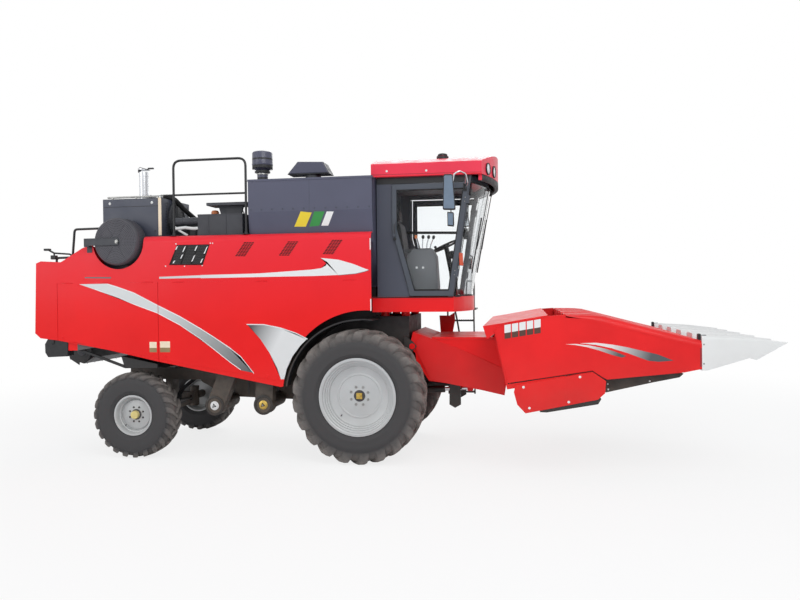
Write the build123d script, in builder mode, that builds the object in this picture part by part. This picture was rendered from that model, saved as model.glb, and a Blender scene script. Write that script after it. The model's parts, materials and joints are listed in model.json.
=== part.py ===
from build123d import *

import os
from math import atan2, cos, hypot, radians, sin, tan

# A self-propelled maize and grain combine harvester with a five-row header, in millimetres.
# X runs forward, Y to the machine's left and Z up from the floor.
# Side outlines are lists of (ahead of the front axle, height above the floor).

os.makedirs("parts", exist_ok=True)

# Clearances
seat = 0.3
pin_play = 0.3
door_gap = 6
running_gap = 12
sheet = 12

# Wheels and axles
front_axle_x = -265
wheelbase = 3125
front_tread = 1992
rear_tread = 2034
front_tyre_radius = 877.5
front_tyre_width = 467
front_bead_radius = 484
front_bead_half = 170
front_lugs = 21
rear_tyre_radius = 588
rear_tyre_width = 370
rear_bead_radius = 256
rear_bead_half = 130
rear_lugs = 23
disc_thickness = 14
front_disc_offset = 40
front_disc_recess = 24
rear_disc_offset = 30
front_hub_radius = 105
rear_hub_radius = 60
kingpin_y = 745
kingpin_radius = 25
steer_arm = 220
arm_thickness = 28

# Chassis
rail_inner = 430
rail_width = 100
rail_bottom = 1007
rail_height = 160
rail_rear = -3500
rail_front = 560
tow_pin_bore = 34
separator_half_width = 600
separator_top = 2300
cab_mount_z = 1900

# Side panels
panel_y = 1225
panel_top = 3010
shoulder_radius = 90
flange_width = 112
panel_front = 212
panel_rear = -4520
seam_z = 2393
door_split_x = -2700
rear_door_x = -4180
hinge_radius = 7
hinge_pin = 3
hinge_gap = 1
hinge_length = 90
hinge_ear = 30
drum_x = -3267
drum_z = 2944
drum_radius = 317
drum_depth = 240
drum_face = -1285
arm_sheet = 6
arm_face = drum_face - 20
deck_rear = -3640
deck_thickness = 12

# Grain tank
tank_front = 217
tank_rear = -1447
tank_fold = 3300
tank_rim = 422
tank_top = tank_fold + tank_rim
tank_half_width = 1150
tank_lower_half_width = 1105
hopper_knee = 2880
hopper_half_width = 620

# Unloading auger
auger_pivot_x = -600
auger_pivot_y = 1400
auger_tube_z = 2620
auger_tube_radius = 140
auger_length = 3650

# Cab
cab_floor = 1966
cab_sill = 2164
cab_half_width = 900
cab_rear = 230
cab_front_low = 1231
cab_front_high = 1477
cab_top = 3727
glass_bulge_low = 165
glass_bulge_high = 205
cab_base_rear = 160
pillar = 70
ring_bottom = 3640
ring_front = 1447
ring_width = 50
rear_window_half = 720
rear_window_low = 2900
rear_window_high = 3560
roof_edge_top = 3897
roof_crown = 4065
roof_half_width = 965
roof_rear = 170
roof_corner_x = 1610
roof_nose_x = 1785
visor_depth = 45
visor_bottom = 3655
glass_thickness = 8

# Header, its lift and its rows
lift_x = 650
lift_z = 1500
feeder_half_width = 650
header_front = 2600
guard_depth = 40
rows = 5
row_spacing = 640
header_half_width = rows * row_spacing / 2
row_slope = 6
deck_x = 3072
deck_z = 1290
row_gap = 60
hood_half_width = 160
hood_chamfer = 55
roll_radius = 36
skid_half = 160
auger_x = 2270
auger_z = 1450
auger_radius = 270
auger_core_radius = 110

# Lift cylinders
cylinder_y = 330
cylinder_pin = (230, 850)
cylinder_eye = (1400, 905)
barrel_radius = 48
rod_radius = 25
barrel_length = 820
eye_pin_radius = 22
eye_play = 8


def side_plane(y=0):
    """Side view at y, drawn as (ahead of the front axle, height); it extrudes to the right."""
    return Plane((front_axle_x, y, 0), x_dir=(1, 0, 0), z_dir=(0, -1, 0))


def cross_plane(x):
    """Cross section at x ahead of the front axle, drawn as (left, height)."""
    return Plane((front_axle_x + x, 0, 0), x_dir=(0, 1, 0), z_dir=(1, 0, 0))


def level_plane(z):
    """Plan view at height z, drawn as (ahead of the front axle, left)."""
    return Plane((front_axle_x, 0, z), x_dir=(1, 0, 0), z_dir=(0, 0, 1))


def side_block(points, y_from, y_to, mode=Mode.ADD):
    """A block with a side outline, between two distances to the left of the middle."""
    with BuildSketch(side_plane(y_to)) as outline:
        with BuildLine():
            Polyline(*points, close=True)
        make_face()
    extrude(outline.sketch, amount=y_to - y_from, mode=mode)


def level_block(points, z_from, z_to, mode=Mode.ADD):
    """A block with a plan outline, between two heights."""
    with BuildSketch(level_plane(z_from)) as outline:
        with BuildLine():
            Polyline(*points, close=True)
        make_face()
    extrude(outline.sketch, amount=z_to - z_from, mode=mode)


def cross_block(points, x_from, x_to, mode=Mode.ADD):
    """A block with a cross-section outline, between two distances ahead of the front axle."""
    with BuildSketch(cross_plane(x_from)) as outline:
        with BuildLine():
            Polyline(*points, close=True)
        make_face()
    extrude(outline.sketch, amount=x_to - x_from, mode=mode)


def box(x_from, x_to, y_from, y_to, z_from, z_to, mode=Mode.ADD):
    """A block between two corners."""
    side_block([(x_from, z_from), (x_to, z_from), (x_to, z_to), (x_from, z_to)], y_from, y_to, mode)


def across(x, z, radius, y_from, y_to, mode=Mode.ADD):
    """A round bar across the machine."""
    with BuildSketch(side_plane(y_to)) as disc:
        with Locations((x, z)):
            Circle(radius)
    extrude(disc.sketch, amount=y_to - y_from, mode=mode)


def upright(x, y, radius, z_from, z_to, mode=Mode.ADD):
    """A round bar standing on end."""
    with BuildSketch(level_plane(z_from)) as disc:
        with Locations((x, y)):
            Circle(radius)
    extrude(disc.sketch, amount=z_to - z_from, mode=mode)


def along(y, z, radius, x_from, x_to, mode=Mode.ADD):
    """A round bar along the machine."""
    with BuildSketch(cross_plane(x_from)) as disc:
        with Locations((y, z)):
            Circle(radius)
    extrude(disc.sketch, amount=x_to - x_from, mode=mode)


def tube_run(points, radius, bend):
    """A bent round tube through points (ahead of the front axle, left, height)."""
    with BuildLine() as path:
        FilletPolyline(*[(front_axle_x + x, y, z) for x, y, z in points], radius=bend)
    with BuildSketch(Plane(path.line @ 0, z_dir=path.line % 0)) as ring:
        Circle(radius)
    sweep(ring.sketch, path=path.line)


def bar_between(start, end, y_from, y_to, radius, mode=Mode.ADD):
    """A round bar between two points of the side view."""
    length = hypot(end[0] - start[0], end[1] - start[1])
    middle = (y_from + y_to) / 2
    along = Plane(
        (front_axle_x + start[0], middle, start[1]),
        x_dir=(0, 1, 0),
        z_dir=(end[0] - start[0], 0, end[1] - start[1]),
    )
    with BuildSketch(along) as disc:
        Circle(radius)
    extrude(disc.sketch, amount=length, mode=mode)


def finish(node, name):
    """Name a finished piece and write it."""
    node.part.label = name
    export_step(node.part, f"parts/{name}.step")


# Chassis: two rails on the front axle, cross members and the rear axle's bracket
with BuildPart() as chassis_frame:
    rail_top = rail_bottom + rail_height
    rail_outer = rail_inner + rail_width
    for y_from, y_to in ((-rail_outer, -rail_inner), (rail_inner, rail_outer)):
        box(rail_rear, rail_front, y_from, y_to, rail_bottom, rail_top)
    for x in (rail_rear, -wheelbase - 60, -200):
        box(x, x + 120, -rail_inner, rail_inner, rail_bottom, rail_top - 40)
    box(-wheelbase - 60, -wheelbase + 60, -90, 90, 690 + seat, rail_bottom)
    pin_x, pin_z = cylinder_pin
    for side in (-1, 1):
        for lug in (-1, 1):
            y = side * cylinder_y + lug * 62
            side_block(
                [(140, 760), (pin_x + 30, pin_z - 45), (pin_x + 45, pin_z + 30), (140, 1000)],
                y - 12,
                y + 12,
            )
        across(pin_x, pin_z, 25, side * cylinder_y - 74, side * cylinder_y + 74)
    box(120, 140, -rail_outer, rail_outer, 747, rail_bottom)
    box(rail_rear - 200, rail_rear + 20, -80, 80, 1040, 1065)
    upright(rail_rear - 155, 0, tow_pin_bore / 2, 1040, 1065, Mode.SUBTRACT)
finish(chassis_frame, "chassis_frame")

# Front drive axle: a box beam with a reduction housing and a hub at each end
with BuildPart() as front_axle:
    half_beam = 640
    box(-140, 120 - seat, -half_beam, half_beam, 747, rail_bottom)
    hub_end = front_tread / 2 + front_disc_offset - front_disc_recess - seat
    for side in (-1, 1):
        inner, middle, outer = (side * half_beam, side * 850, side * hub_end)
        across(0, front_tyre_radius, 235, min(inner, side * 745), max(inner, side * 745))
        across(0, front_tyre_radius, 170, min(inner, middle), max(inner, middle))
        across(0, front_tyre_radius, front_hub_radius, min(inner, outer), max(inner, outer))
finish(front_axle, "front_axle")

# Rear steering axle: a box beam with an eye for each kingpin
with BuildPart() as rear_axle:
    beam_half = 85
    boss_half = 120
    boss_radius = 58
    box(-wheelbase - beam_half, -wheelbase + beam_half, -560, 560, 500, 690)
    cross_block(
        [(-kingpin_y, 520), (kingpin_y, 520), (kingpin_y, 660), (-kingpin_y, 660)],
        -wheelbase - 50,
        -wheelbase + 50,
    )
    for side in (-1, 1):
        upright(-wheelbase, side * kingpin_y, boss_radius, 588 - boss_half, 588 + boss_half)
        upright(
            -wheelbase,
            side * kingpin_y,
            kingpin_radius + pin_play,
            588 - boss_half,
            588 + boss_half,
            Mode.SUBTRACT,
        )
finish(rear_axle, "rear_axle")

# Steering knuckles: a fork round the axle's eye, its kingpin, the spindle and the steering arm
with BuildPart() as steering_knuckle_right:
    fork_gap = 1
    fork_plate = 34
    low = 588 - boss_half - fork_gap
    high = 588 + boss_half + fork_gap
    for z_from, z_to in ((low - fork_plate, low), (high, high + fork_plate)):
        upright(-wheelbase, -kingpin_y, boss_radius, z_from, z_to)
        box(-wheelbase - 50, -wheelbase + 50, -kingpin_y - 75, -kingpin_y, z_from, z_to)
    box(
        -wheelbase - 50,
        -wheelbase + 50,
        -kingpin_y - 79,
        -kingpin_y - 63,
        low - fork_plate,
        high + fork_plate,
    )
    upright(-wheelbase, -kingpin_y, kingpin_radius, low - 5, high + 5)
    spindle_end = rear_tread / 2 + rear_disc_offset - seat
    across(-wheelbase, rear_tyre_radius, rear_hub_radius, -spindle_end, -kingpin_y - 70)
    arm_top = low - 4
    arm_x = -wheelbase - steer_arm
    box(arm_x, -wheelbase, -kingpin_y - 30, -kingpin_y + 30, arm_top - arm_thickness, arm_top)
    upright(arm_x, -kingpin_y, 34, arm_top - arm_thickness, arm_top)
    upright(arm_x, -kingpin_y, 13, arm_top, arm_top + 52)
finish(steering_knuckle_right, "steering_knuckle_right")

with BuildPart() as steering_knuckle_left:
    mirror(steering_knuckle_right.part, about=Plane.XZ)
finish(steering_knuckle_left, "steering_knuckle_left")

# Tie rod, with an eye on each steering arm's pin
with BuildPart() as tie_rod:
    across(arm_x, arm_top + 26, 19, -kingpin_y, kingpin_y)
    for side in (-1, 1):
        upright(arm_x, side * kingpin_y, 30, arm_top + 1, arm_top + 51)
        upright(arm_x, side * kingpin_y, 13 + pin_play, arm_top + 1, arm_top + 51, Mode.SUBTRACT)
finish(tie_rod, "tie_rod")


def wheel_section(tread, radius, axle_x):
    """Half section of a right-hand wheel, drawn as (radius, outward)."""
    return Plane((front_axle_x + axle_x, -tread / 2, radius), x_dir=(1, 0, 0), z_dir=(0, 0, -1))


def wheel_face(tread, radius, axle_x):
    """The outer face of a right-hand wheel, its axle along the normal."""
    return Plane((front_axle_x + axle_x, -tread / 2, radius), x_dir=(1, 0, 0), z_dir=(0, -1, 0))


def wheel_axis(tread, radius, axle_x):
    """The axle's line through a right-hand wheel."""
    return Axis((front_axle_x + axle_x, -tread / 2, radius), (0, 1, 0))


def tread_bar(radius, half_width, lug_height, base_depth, bar_width, nose, tail):
    """One slanting tread bar over the wheel's top, its axle along Z."""
    top = (radius**2 - max(nose, tail) ** 2) ** 0.5
    with BuildPart() as bar:
        with BuildSketch(Plane((0, top, 0), x_dir=(1, 0, 0), z_dir=(0, -1, 0))):
            with BuildLine():
                Polyline(
                    (nose, -bar_width * 0.3),
                    (nose - bar_width, -bar_width * 0.3),
                    (-tail, half_width),
                    (-tail + bar_width * 1.25, half_width),
                    close=True,
                )
            make_face()
        extrude(amount=lug_height + base_depth, taper=-6)
    return bar.part


front_place = (front_tread, front_tyre_radius, 0)
rear_place = (rear_tread, rear_tyre_radius, -wheelbase)

# Front drive tyre: carcass with slanting bars, left and right of the tread's middle by turns
with BuildPart(wheel_face(*front_place)) as tyre_front_right:
    half = front_tyre_width / 2
    carcass = front_tyre_radius - 42
    with BuildSketch(wheel_section(*front_place)):
        with BuildLine():
            Polyline(
                (front_bead_radius, -front_bead_half),
                (front_bead_radius + 28, -front_bead_half),
                (front_bead_radius + 60, -half + 18),
                (front_bead_radius + 150, -half),
                (carcass - 110, -half + 4),
                (carcass - 40, -half + 38),
                (carcass, -60),
                (carcass, 60),
                (carcass - 40, half - 38),
                (carcass - 110, half - 4),
                (front_bead_radius + 150, half),
                (front_bead_radius + 60, half - 18),
                (front_bead_radius + 28, front_bead_half),
                (front_bead_radius, front_bead_half),
                close=True,
            )
        make_face()
    revolve(axis=wheel_axis(*front_place))
    front_bar = tread_bar(front_tyre_radius, half - 12, 42, 62, 46, 105, 115)
    front_bar_across = mirror(front_bar, about=Plane.XY, mode=Mode.PRIVATE)
    with PolarLocations(0, front_lugs):
        add(front_bar)
    with PolarLocations(0, front_lugs, start_angle=180 / front_lugs):
        add(front_bar_across)
finish(tyre_front_right, "tyre_front_right")

with BuildPart() as tyre_front_left:
    mirror(tyre_front_right.part, about=Plane.XZ)
finish(tyre_front_left, "tyre_front_left")

# Rear steering tyre, with shallower bars
with BuildPart(wheel_face(*rear_place)) as tyre_rear_right:
    half = rear_tyre_width / 2
    carcass = rear_tyre_radius - 22
    with BuildSketch(wheel_section(*rear_place)):
        with BuildLine():
            Polyline(
                (rear_bead_radius, -rear_bead_half),
                (rear_bead_radius + 24, -rear_bead_half),
                (rear_bead_radius + 52, -half + 14),
                (rear_bead_radius + 130, -half),
                (carcass - 70, -half + 6),
                (carcass - 22, -half + 34),
                (carcass, -50),
                (carcass, 50),
                (carcass - 22, half - 34),
                (carcass - 70, half - 6),
                (rear_bead_radius + 130, half),
                (rear_bead_radius + 52, half - 14),
                (rear_bead_radius + 24, rear_bead_half),
                (rear_bead_radius, rear_bead_half),
                close=True,
            )
        make_face()
    revolve(axis=wheel_axis(*rear_place))
    rear_bar = tread_bar(rear_tyre_radius, half - 14, 22, 40, 34, 72, 78)
    rear_bar_across = mirror(rear_bar, about=Plane.XY, mode=Mode.PRIVATE)
    with PolarLocations(0, rear_lugs):
        add(rear_bar)
    with PolarLocations(0, rear_lugs, start_angle=180 / rear_lugs):
        add(rear_bar_across)
finish(tyre_rear_right, "tyre_rear_right")

with BuildPart() as tyre_rear_left:
    mirror(tyre_rear_right.part, about=Plane.XZ)
finish(tyre_rear_left, "tyre_rear_left")

# Rims: a stepped barrel with flanges, a dished disc and a hub cap
with BuildPart() as rim_front_right:
    barrel = front_bead_radius - seat
    lip = front_bead_half + seat
    dish = front_disc_offset
    with BuildSketch(wheel_section(*front_place)):
        with BuildLine():
            Polyline(
                (barrel, -lip),
                (barrel + 24, -lip),
                (barrel + 24, -lip - 14),
                (barrel - 14, -lip - 14),
                (barrel - 26, -60),
                (barrel - 34, dish),
                (330, dish),
                (300, dish - front_disc_recess),
                (0, dish - front_disc_recess),
                (0, dish + 62),
                (78, dish + 62),
                (88, dish + 50),
                (88, dish + disc_thickness + 6),
                (150, dish + disc_thickness + 6),
                (150, dish - front_disc_recess + disc_thickness),
                (294, dish - front_disc_recess + disc_thickness),
                (324, dish + disc_thickness),
                (barrel - 34, dish + disc_thickness),
                (barrel - 14, lip + 14),
                (barrel + 24, lip + 14),
                (barrel + 24, lip),
                (barrel, lip),
                close=True,
            )
        make_face()
    revolve(axis=wheel_axis(*front_place))
finish(rim_front_right, "rim_front_right")

with BuildPart() as rim_front_left:
    mirror(rim_front_right.part, about=Plane.XZ)
finish(rim_front_left, "rim_front_left")

with BuildPart() as rim_rear_right:
    barrel = rear_bead_radius - seat
    lip = rear_bead_half + seat
    dish = rear_disc_offset
    with BuildSketch(wheel_section(*rear_place)):
        with BuildLine():
            Polyline(
                (barrel, -lip),
                (barrel + 20, -lip),
                (barrel + 20, -lip - 12),
                (barrel - 14, -lip - 12),
                (barrel - 26, -40),
                (barrel - 30, dish),
                (110, dish),
                (0, dish),
                (0, dish + 70),
                (52, dish + 70),
                (60, dish + 58),
                (60, dish + disc_thickness + 6),
                (110, dish + disc_thickness + 6),
                (110, dish + disc_thickness),
                (barrel - 30, dish + disc_thickness),
                (barrel - 14, lip + 12),
                (barrel + 20, lip + 12),
                (barrel + 20, lip),
                (barrel, lip),
                close=True,
            )
        make_face()
    revolve(axis=wheel_axis(*rear_place))
finish(rim_rear_right, "rim_rear_right")

with BuildPart() as rim_rear_left:
    mirror(rim_rear_right.part, about=Plane.XZ)
finish(rim_rear_left, "rim_rear_left")

# Threshing and cleaning body on the rails, with the cleaning shoe between them and a wheel
# arch sheet over each front tyre
arch_centre = (60, front_tyre_radius)
arch_start = (-972, 1016)
arch_middle = (-526, 1783)
arch_end = (panel_front, 1998)
arch_radius = 1010
with BuildPart() as separator_body:
    body_side = [
        (600, rail_top),
        (600, cab_mount_z),
        (150, cab_mount_z),
        (150, separator_top),
        (deck_rear - 20, separator_top),
        (-4050, 2200),
        (-4050, 1660),
        (-3500, 1420),
        (-2900, 1260),
        (-2600, rail_top),
    ]
    side_block(body_side, -separator_half_width, separator_half_width)
    shoe_side = [(-300, rail_top), (-2600, rail_top), (-2450, 960), (-2050, 760), (-700, 720)]
    side_block(shoe_side, -rail_inner + 4, rail_inner - 4)
    for y_from in (-panel_y + 20, separator_half_width - 1):
        with BuildSketch(side_plane(y_from + panel_y - 19 - separator_half_width)) as arch_sheet:
            with Locations(arch_centre):
                Circle(arch_radius)
                Circle(arch_radius - sheet, mode=Mode.SUBTRACT)
            with Locations((panel_front + 1000, arch_centre[1])):
                Rectangle(2000, 3000, mode=Mode.SUBTRACT)
            with Locations((0, arch_start[1] - 1000)):
                Rectangle(3000, 2000, mode=Mode.SUBTRACT)
        extrude(arch_sheet.sketch, amount=panel_y - 19 - separator_half_width)
    pivot_side = [
        (590, lift_z - 110),
        (lift_x, lift_z - 70),
        (lift_x + 60, lift_z),
        (lift_x, lift_z + 70),
        (590, lift_z + 110),
    ]
    ear_inner = feeder_half_width + 8
    for y_from, y_to in ((-ear_inner - 24, -ear_inner), (ear_inner, ear_inner + 24)):
        side_block(pivot_side, y_from, y_to)
        across(lift_x, lift_z, 40 + pin_play, y_from, y_to, Mode.SUBTRACT)
    for side in (-1, 1):
        inner, outer = (side * (separator_half_width - 10), side * (ear_inner + 24))
        box(540, 590, min(inner, outer), max(inner, outer), lift_z - 130, lift_z + 130)
finish(separator_body, "separator_body")

# Side panels: upper band with a rolled shoulder, rear strip and the drum's cut-out
panel_outline = [
    (panel_front, 3200),
    (-2850, 3200),
    (-3797, 2866),
    (-4116, 2683),
    (-4418, 2700),
    (-4490, 2672),
    (panel_rear, 1709),
    (-4438, 1640),
    (-3913, 1585),
    (-2717, 1332),
    (-1006, 1009),
    arch_start,
]
service_doors = {
    "service_door_rear_right": (rear_door_x + door_gap, door_split_x - door_gap / 2),
    "service_door_front_right": (door_split_x + door_gap / 2, panel_front),
}
hinge_z = seam_z - seat
hinge_shares = (0.1, 0.5, 0.9)


def hinge_places(x_from, x_to):
    """Where a door's hinges are, ahead of the front axle."""
    return [x_from + share * (x_to - x_from) for share in hinge_shares]


with BuildPart() as side_shell_right:
    flange_edge = panel_y - flange_width
    with BuildSketch(cross_plane(panel_rear)):
        with BuildLine():
            Polyline(
                (-panel_y, 1400),
                (-panel_y, panel_top - shoulder_radius),
            )
            RadiusArc(
                (-panel_y, panel_top - shoulder_radius),
                (-panel_y + shoulder_radius, panel_top),
                shoulder_radius,
            )
            Polyline(
                (-panel_y + shoulder_radius, panel_top),
                (-flange_edge, panel_top),
                (-flange_edge, panel_top - sheet),
                (-panel_y + shoulder_radius, panel_top - sheet),
            )
            RadiusArc(
                (-panel_y + shoulder_radius, panel_top - sheet),
                (-panel_y + sheet, panel_top - shoulder_radius),
                -(shoulder_radius - sheet),
            )
            Polyline(
                (-panel_y + sheet, panel_top - shoulder_radius),
                (-panel_y + sheet, 1400),
                (-panel_y, 1400),
            )
        make_face()
    extrude(amount=panel_front - panel_rear)
    with BuildSketch(side_plane(0)) as outline:
        with BuildLine():
            Polyline(*panel_outline)
            ThreePointArc(arch_start, arch_middle, arch_end)
            Line(arch_end, (panel_front, 3200))
        make_face()
    extrude(outline.sketch, amount=panel_y + 50, mode=Mode.INTERSECT)
    box(rear_door_x, panel_front + 50, -panel_y - 50, -flange_edge, 900, seam_z, Mode.SUBTRACT)
    across(drum_x, drum_z, drum_radius + running_gap + 40, -panel_y - 50, -flange_edge + 10, Mode.SUBTRACT)
    for x_from, x_to in service_doors.values():
        for x in hinge_places(x_from, x_to):
            reach = hinge_length / 2 + hinge_gap
            along(-panel_y, hinge_z, hinge_radius + hinge_gap, x - reach, x + reach, Mode.SUBTRACT)
            along(-panel_y, hinge_z, hinge_radius, x - reach - hinge_ear, x - reach)
            along(-panel_y, hinge_z, hinge_radius, x + reach, x + reach + hinge_ear)
            along(-panel_y, hinge_z, hinge_pin, x - reach - 5, x + reach + 5)
finish(side_shell_right, "side_shell_right")

with BuildPart() as side_shell_left:
    mirror(side_shell_right.part, about=Plane.XZ)
    across(auger_pivot_x, 2870, 110 + running_gap, flange_edge, panel_y + 50, Mode.SUBTRACT)
finish(side_shell_left, "side_shell_left")

# Service doors under the seam, hinged along their top edges
door_leaves = {}
for name, (x_from, x_to) in service_doors.items():
    with BuildPart() as door:
        with BuildSketch(side_plane(-panel_y + sheet)) as leaf:
            with BuildLine():
                Polyline(*panel_outline)
                ThreePointArc(arch_start, arch_middle, arch_end)
                Line(arch_end, (panel_front, 3200))
            make_face()
        extrude(leaf.sketch, amount=sheet)
        box(x_from, x_to, -panel_y - 10, -panel_y + 30, 900, hinge_z, Mode.INTERSECT)
        for x in hinge_places(x_from, x_to):
            reach = hinge_length / 2 + hinge_gap
            for ear_x in (x - reach - hinge_ear, x + reach):
                along(
                    -panel_y,
                    hinge_z,
                    hinge_radius + hinge_gap,
                    ear_x - hinge_gap,
                    ear_x + hinge_ear + hinge_gap,
                    Mode.SUBTRACT,
                )
            along(-panel_y, hinge_z, hinge_radius, x - hinge_length / 2, x + hinge_length / 2)
            along(-panel_y, hinge_z, hinge_pin + pin_play, x - reach, x + reach, Mode.SUBTRACT)
    finish(door, name)
    door_leaves[name] = door.part

for name in ("service_door_rear", "service_door_front"):
    with BuildPart() as door:
        mirror(door_leaves[name + "_right"], about=Plane.XZ)
    finish(door, name + "_left")

# Rear hood: back wall and top sheet between the side panels
with BuildPart() as rear_hood:
    hood_line = [
        (-4505, 1725),
        (-4478, 2590),
        (-4420, 2672),
        (-4120, 2658),
        (-3800, 2840),
        (-3655, 2890),
    ]
    hood_inner = [
        (-3655, 2878),
        (-3800, 2828),
        (-4120, 2646),
        (-4415, 2660),
        (-4466, 2586),
        (-4493, 1725),
    ]
    side_block(hood_line + hood_inner, -panel_y + sheet, panel_y - sheet)
    box(-4300, -4288, -panel_y + sheet, panel_y - sheet, 2190, 2659)
    box(-4300, -4050, -separator_half_width, separator_half_width, 2190, 2202)
finish(rear_hood, "rear_hood")

# Straw chopper and spreader under the hood
with BuildPart() as straw_chopper:
    chopper_front = -4050 - seat
    chopper_side = [(-4480, 1570), (chopper_front, 1700), (chopper_front, 1320), (-4200, 1230), (-4420, 1290)]
    side_block(chopper_side, -590, 590)
    across(-4200, 1420, 150, -640, 640)
    vane_side = [(-4320, 1300), (-4470, 1400), (-4500, 1370), (-4480, 1290), (-4330, 1200)]
    for y in range(-500, 501, 200):
        side_block(vane_side, y - 4, y + 4)
finish(straw_chopper, "straw_chopper")

# Elevators and the augers that feed them, at the right-hand side of the shoe
with BuildPart() as grain_elevators:
    elevators = [
        # boot x, boot z, head x, head z
        (-1976, 728, -1560, 1700),
        (-1293, 749, -1240, 1700),
    ]
    for boot_x, boot_z, head_x, head_z in elevators:
        across(boot_x, boot_z, 130, -1090, -930)
        length = hypot(head_x - boot_x, head_z - boot_z)
        across_x = (head_z - boot_z) / length * 120
        across_z = (head_x - boot_x) / length * 120
        side_block(
            [
                (boot_x - across_x, boot_z + across_z),
                (boot_x + across_x, boot_z - across_z),
                (head_x + across_x, head_z - across_z),
                (head_x - across_x, head_z + across_z),
            ],
            -1085,
            -935,
        )
        across(boot_x, boot_z, 95, -935, -rail_inner + 3)
        box(head_x - 60, head_x + 60, -940, -separator_half_width, head_z - 160, head_z - 40)
finish(grain_elevators, "grain_elevators")

# Engine deck: a plate under the panels' flanges, on two walls, open round the engine
with BuildPart() as engine_deck:
    deck_top = panel_top - sheet
    deck_side = panel_y - shoulder_radius
    level_block(
        [
            (tank_rear - 6, -deck_side),
            (tank_rear - 6, deck_side),
            (deck_rear, deck_side),
            (deck_rear, -100),
            (-2740, -100),
            (-2740, -deck_side),
        ],
        deck_top - deck_thickness,
        deck_top,
    )
    box(-2720, -1960, -395, 395, deck_top - 50, deck_top + 50, Mode.SUBTRACT)
    box(tank_rear - 18, tank_rear - 6, -deck_side, deck_side, separator_top, deck_top - 1)
    box(deck_rear, deck_rear + 12, 0, deck_side, separator_top, deck_top - 1)
    for side in (-1, 1):
        y_from, y_to = sorted((side * (separator_half_width - 12), side * separator_half_width))
        box(-2700, tank_rear - 7, y_from, y_to, separator_top, deck_top - 1)
    box(-2066, -1500, -1060, -760, 3413, 3452)
    side_block([(-1950, 3413), (-1600, 3413), (-1720, deck_top), (-1830, deck_top)], -930, -890)
    box(-2222, -1586, -1000, -620, deck_top, 3307)
    along(-900, 3226, 52, -2589, -2222)
finish(engine_deck, "engine_deck")

# Engine: one block on its feet
with BuildPart() as engine:
    box(-2700, -1990, -330, 330, 2420, 3250)
    box(-2560, -2100, -200, 200, 3250, 3330)
    for x in (-2640, -2110):
        box(x, x + 60, -300, 300, separator_top, 2420)
finish(engine, "engine")

# Cooler box behind the screen drum, with its bearing
with BuildPart() as radiator_box:
    box(-3624, -2755, -980, -130, separator_top, 3551)
    box(-2790, -2740 - seat, -1010, -980, 3034, 3551)
    across(drum_x, drum_z, 34, drum_face + 16 + seat, -980)
finish(radiator_box, "radiator_box")

# Rotary dust screen: a drum with a round rim and a strap across its face
with BuildPart() as rotary_screen:
    with BuildSketch(Plane((front_axle_x + drum_x, 0, drum_z), x_dir=(1, 0, 0), z_dir=(0, 0, -1))):
        with BuildLine():
            Polyline(
                (34 + pin_play, -drum_face - 200),
                (34 + pin_play, -drum_face - 16),
                (0, -drum_face - 16),
                (0, -drum_face + 8),
                (60, -drum_face + 8),
                (70, -drum_face),
                (drum_radius - 22, -drum_face),
                (drum_radius, -drum_face - 22),
                (drum_radius, -drum_face - drum_depth),
                (drum_radius - 8, -drum_face - drum_depth),
                (drum_radius - 8, -drum_face - 26),
                (70, -drum_face - 14),
                (52, -drum_face - 200),
                close=True,
            )
        make_face()
    revolve(axis=Axis((front_axle_x + drum_x, 0, drum_z), (0, 1, 0)))
finish(rotary_screen, "rotary_screen")

# Wiper arm across the screen's face, on a bracket beside it
with BuildPart() as screen_arm:
    bracket_face = -panel_y - seat
    box(-3717, -3217, arm_face, arm_face + arm_sheet, drum_z - 52, drum_z + 48)
    box(-3717, -3645, arm_face, bracket_face, drum_z - 64, drum_z - 52)
    box(-3717, -3645, bracket_face - arm_sheet, bracket_face, drum_z - 140, drum_z - 52)
finish(screen_arm, "screen_arm")

# Exhaust stack with its rain cap
with BuildPart() as exhaust_pipe:
    stack_foot = 3551
    along(-700, stack_foot + 24, 14, -3567, -3160)
    along(-700, stack_foot + 45, 32, -3160, -2880)
    for x in (-3520, -2960):
        box(x, x + 40, -720, -680, stack_foot, stack_foot + 24)
    upright(-3160, -700, 62, stack_foot, 3956)
    upright(-3160, -700, 55, 3700, 3960, Mode.SUBTRACT)
    box(-3224, -3214, -712, -688, 3900, 3990)
    upright(-3160, -700, 74, 3985, 3999)
finish(exhaust_pipe, "exhaust_pipe")

# Air pre-cleaner: neck, flange and mushroom cap
with BuildPart() as pre_cleaner:
    cleaner_x, cleaner_y = (-1547, -300)
    stack = [
        # radius, from, to
        (75, deck_top, 3958),
        (110, 3950, 3972),
        (92, 3972, 4020),
        (145, 4015, 4150),
        (122, 4150, 4200),
        (70, 4200, 4258),
    ]
    for radius, z_from, z_to in stack:
        upright(cleaner_x, cleaner_y, radius, z_from, z_to)
finish(pre_cleaner, "pre_cleaner")

# Hand rails round the deck
with BuildPart() as handrails:
    rail_tube = 16
    tube_run(
        [
            (-2490, -1150, deck_top + sheet),
            (-2490, -1150, 3900),
            (-2393, -1150, 4015),
            (-1546, -1150, 4015),
            (-1475, -1150, 3900),
            (-1475, -1150, deck_top + sheet),
        ],
        rail_tube,
        60,
    )
    along(-1150, 3555, 13, -2629, -1475)
    tube_run(
        [
            (-4261, -1100, 2668),
            (-4261, -1100, 2748),
            (-4018, -1100, 2752),
            (-3981, -1100, 3137),
            (-3600, -1100, 3142),
            (-3600, -980 - seat, 3142),
        ],
        rail_tube,
        35,
    )
finish(handrails, "handrails")

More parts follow.
